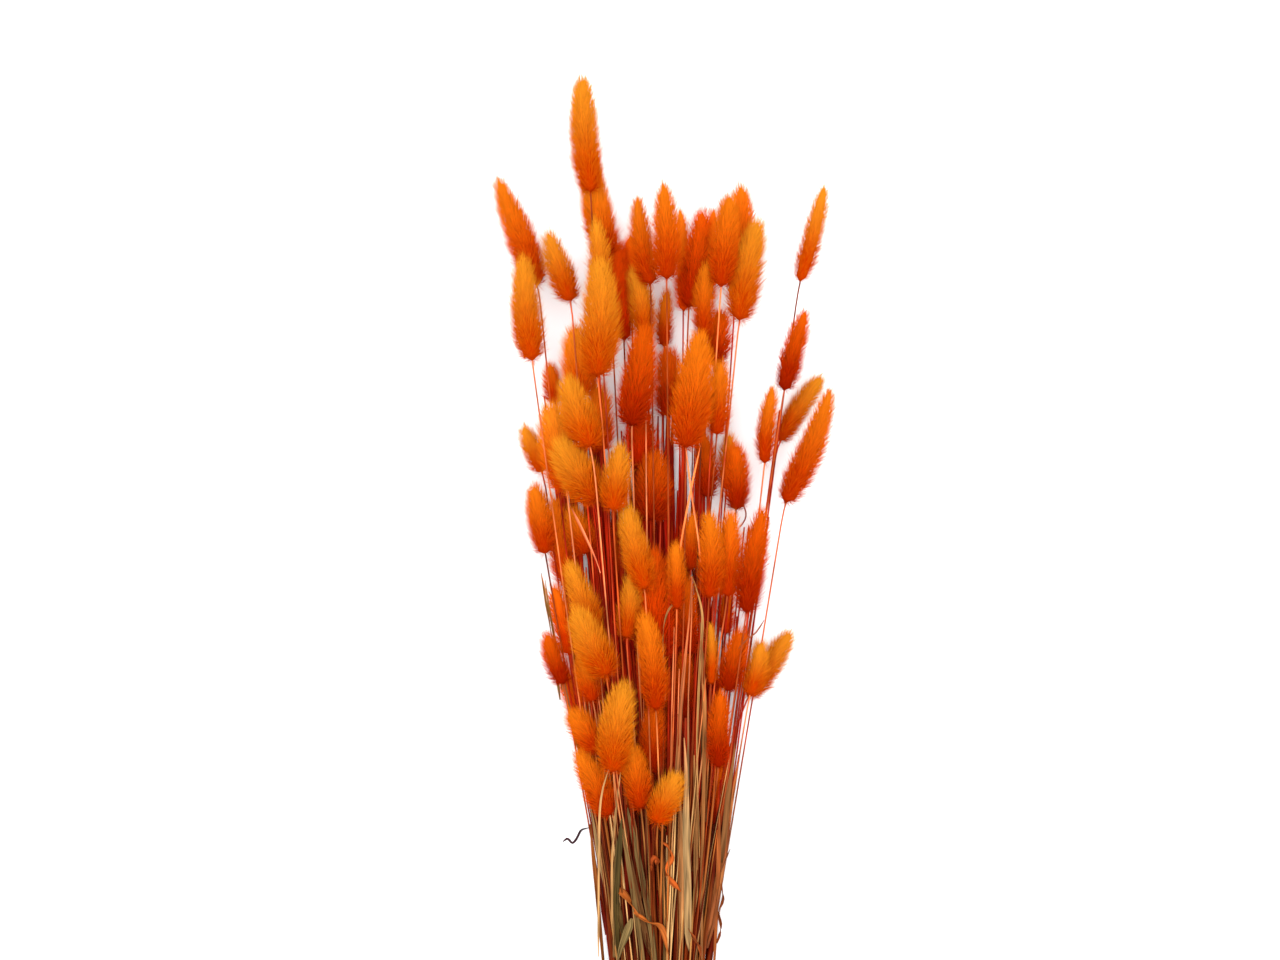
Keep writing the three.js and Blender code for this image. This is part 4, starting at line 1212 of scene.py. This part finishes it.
tie_points, tie_triangles = read_solid(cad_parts["tie_band"])
band_low, band_high = tie_points[:, 1].min(), tie_points[:, 1].max()
outlines = slice_solid(tie_points, tie_triangles, (band_low + band_high) / 2)
outline = max(outlines, key=lambda found: measure_outline(found)[2])[:, [0, 2]]
middle = (outline.max(0) + outline.min(0)) / 2
corners = np.concatenate([outline, outline[:1]])
outline = np.concatenate([np.linspace(a, b, SIDE_STEPS + 1)[:-1] for a, b in zip(corners, corners[1:])])
angles = np.arctan2(outline[:, 1] - middle[1], outline[:, 0] - middle[0])
order = np.argsort(angles)
angles, reaches = angles[order], np.linalg.norm(outline[order] - middle, axis=1)
path = []
for step in range(BAND_TURNS * BAND_STEPS):
    turns = step / BAND_STEPS
    # The middle of the crossing is at the top.
    angle = (math.tau * (turns + TOP_TURN + BAND_CROSSING / 2) + math.pi) % math.tau - math.pi
    crossing = max(0, (turns - BAND_TURNS + BAND_CROSSING) / BAND_CROSSING)
    across = 1 - crossing if crossing else min(1, turns / (BAND_TURNS - BAND_CROSSING))
    reach = np.interp(angle, angles, reaches, period=math.tau) - BAND_RADIUS
    reach += BAND_LIFT * math.sin(math.pi * crossing)
    y = band_low + BAND_RADIUS + (band_high - band_low - 2 * BAND_RADIUS) * across
    z = max(middle[1] + reach * math.sin(angle), BAND_RADIUS)
    path.append((middle[0] + reach * math.cos(angle), y, z))
round_edges = [(i, (i + 1) % len(path)) for i in range(len(path))]
band_mesh = build_mesh("band", path, round_edges, [], {"girth": [BAND_RADIUS] * len(path)})
tie_piece = grow("tie", band_mesh, tube_tree, Sides=BAND_SECTION, Material=tie_rubber)
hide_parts("tie_band")
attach(tie_piece, "root")


# The table, the light and the camera
# The bunch lies on a pale, matt table under a bright sky and two large soft lamps.
# The camera looks straight down on it, as the photograph shows it from the front.
CAMERA_MIDDLE = Vector((-13.8, 70.9, 45)) * MM
FIELD_WIDTH = 731.4 * MM
CAMERA_DISTANCE = 1.8
SENSOR_WIDTH = 36
TABLE_HALF = 4.0
TABLE_COLOUR = "#f4f4f4"
SKY_STRENGTH = 0.92

pale_table, tree, output = start_material("pale_table")
table_shader = add(tree, "ShaderNodeBsdfPrincipled", {
    "Base Color": rgba(TABLE_COLOUR), "Roughness": 0.8, "Specular IOR Level": 0.2,
})
tree.links.new(table_shader.outputs[0], output.inputs["Surface"])
table_corners = [(TABLE_HALF * x, TABLE_HALF * y, 0) for x, y in ((-1, -1), (1, -1), (1, 1), (-1, 1))]
table_mesh = bpy.data.meshes.new("table")
table_mesh.from_pydata(table_corners, [], [(0, 1, 2, 3)])
table_mesh.materials.append(pale_table)
table = bpy.data.objects.new("table", table_mesh)
bpy.context.scene.collection.objects.link(table)

scene = bpy.context.scene
scene.view_settings.view_transform = "Standard"
scene.world = bpy.data.worlds.new("studio")
scene.world.use_nodes = True
sky = scene.world.node_tree.nodes["Background"]
sky.inputs["Color"].default_value = (1, 1, 1, 1)
sky.inputs["Strength"].default_value = SKY_STRENGTH


def soft_light(name, place, size, watts):
    """A large square lamp that shines at the middle of the bunch."""
    lamp = bpy.data.lights.new(name, "AREA")
    lamp.size = size
    lamp.energy = watts
    holder = bpy.data.objects.new(name, lamp)
    holder.location = place
    holder.rotation_euler = (CAMERA_MIDDLE - Vector(place)).to_track_quat("-Z", "Y").to_euler()
    scene.collection.objects.link(holder)


soft_light("key_light", (-0.3, 0.4, 2.7), 1.3, 66)
soft_light("fill_light", (0.5, -0.3, 2.6), 1.8, 38)

camera_data = bpy.data.cameras.new("camera")
camera_data.sensor_width = SENSOR_WIDTH
camera_data.lens = SENSOR_WIDTH * CAMERA_DISTANCE / FIELD_WIDTH
camera = bpy.data.objects.new("camera", camera_data)
camera.location = CAMERA_MIDDLE + Vector((0, 0, CAMERA_DISTANCE))
scene.collection.objects.link(camera)
scene.camera = camera
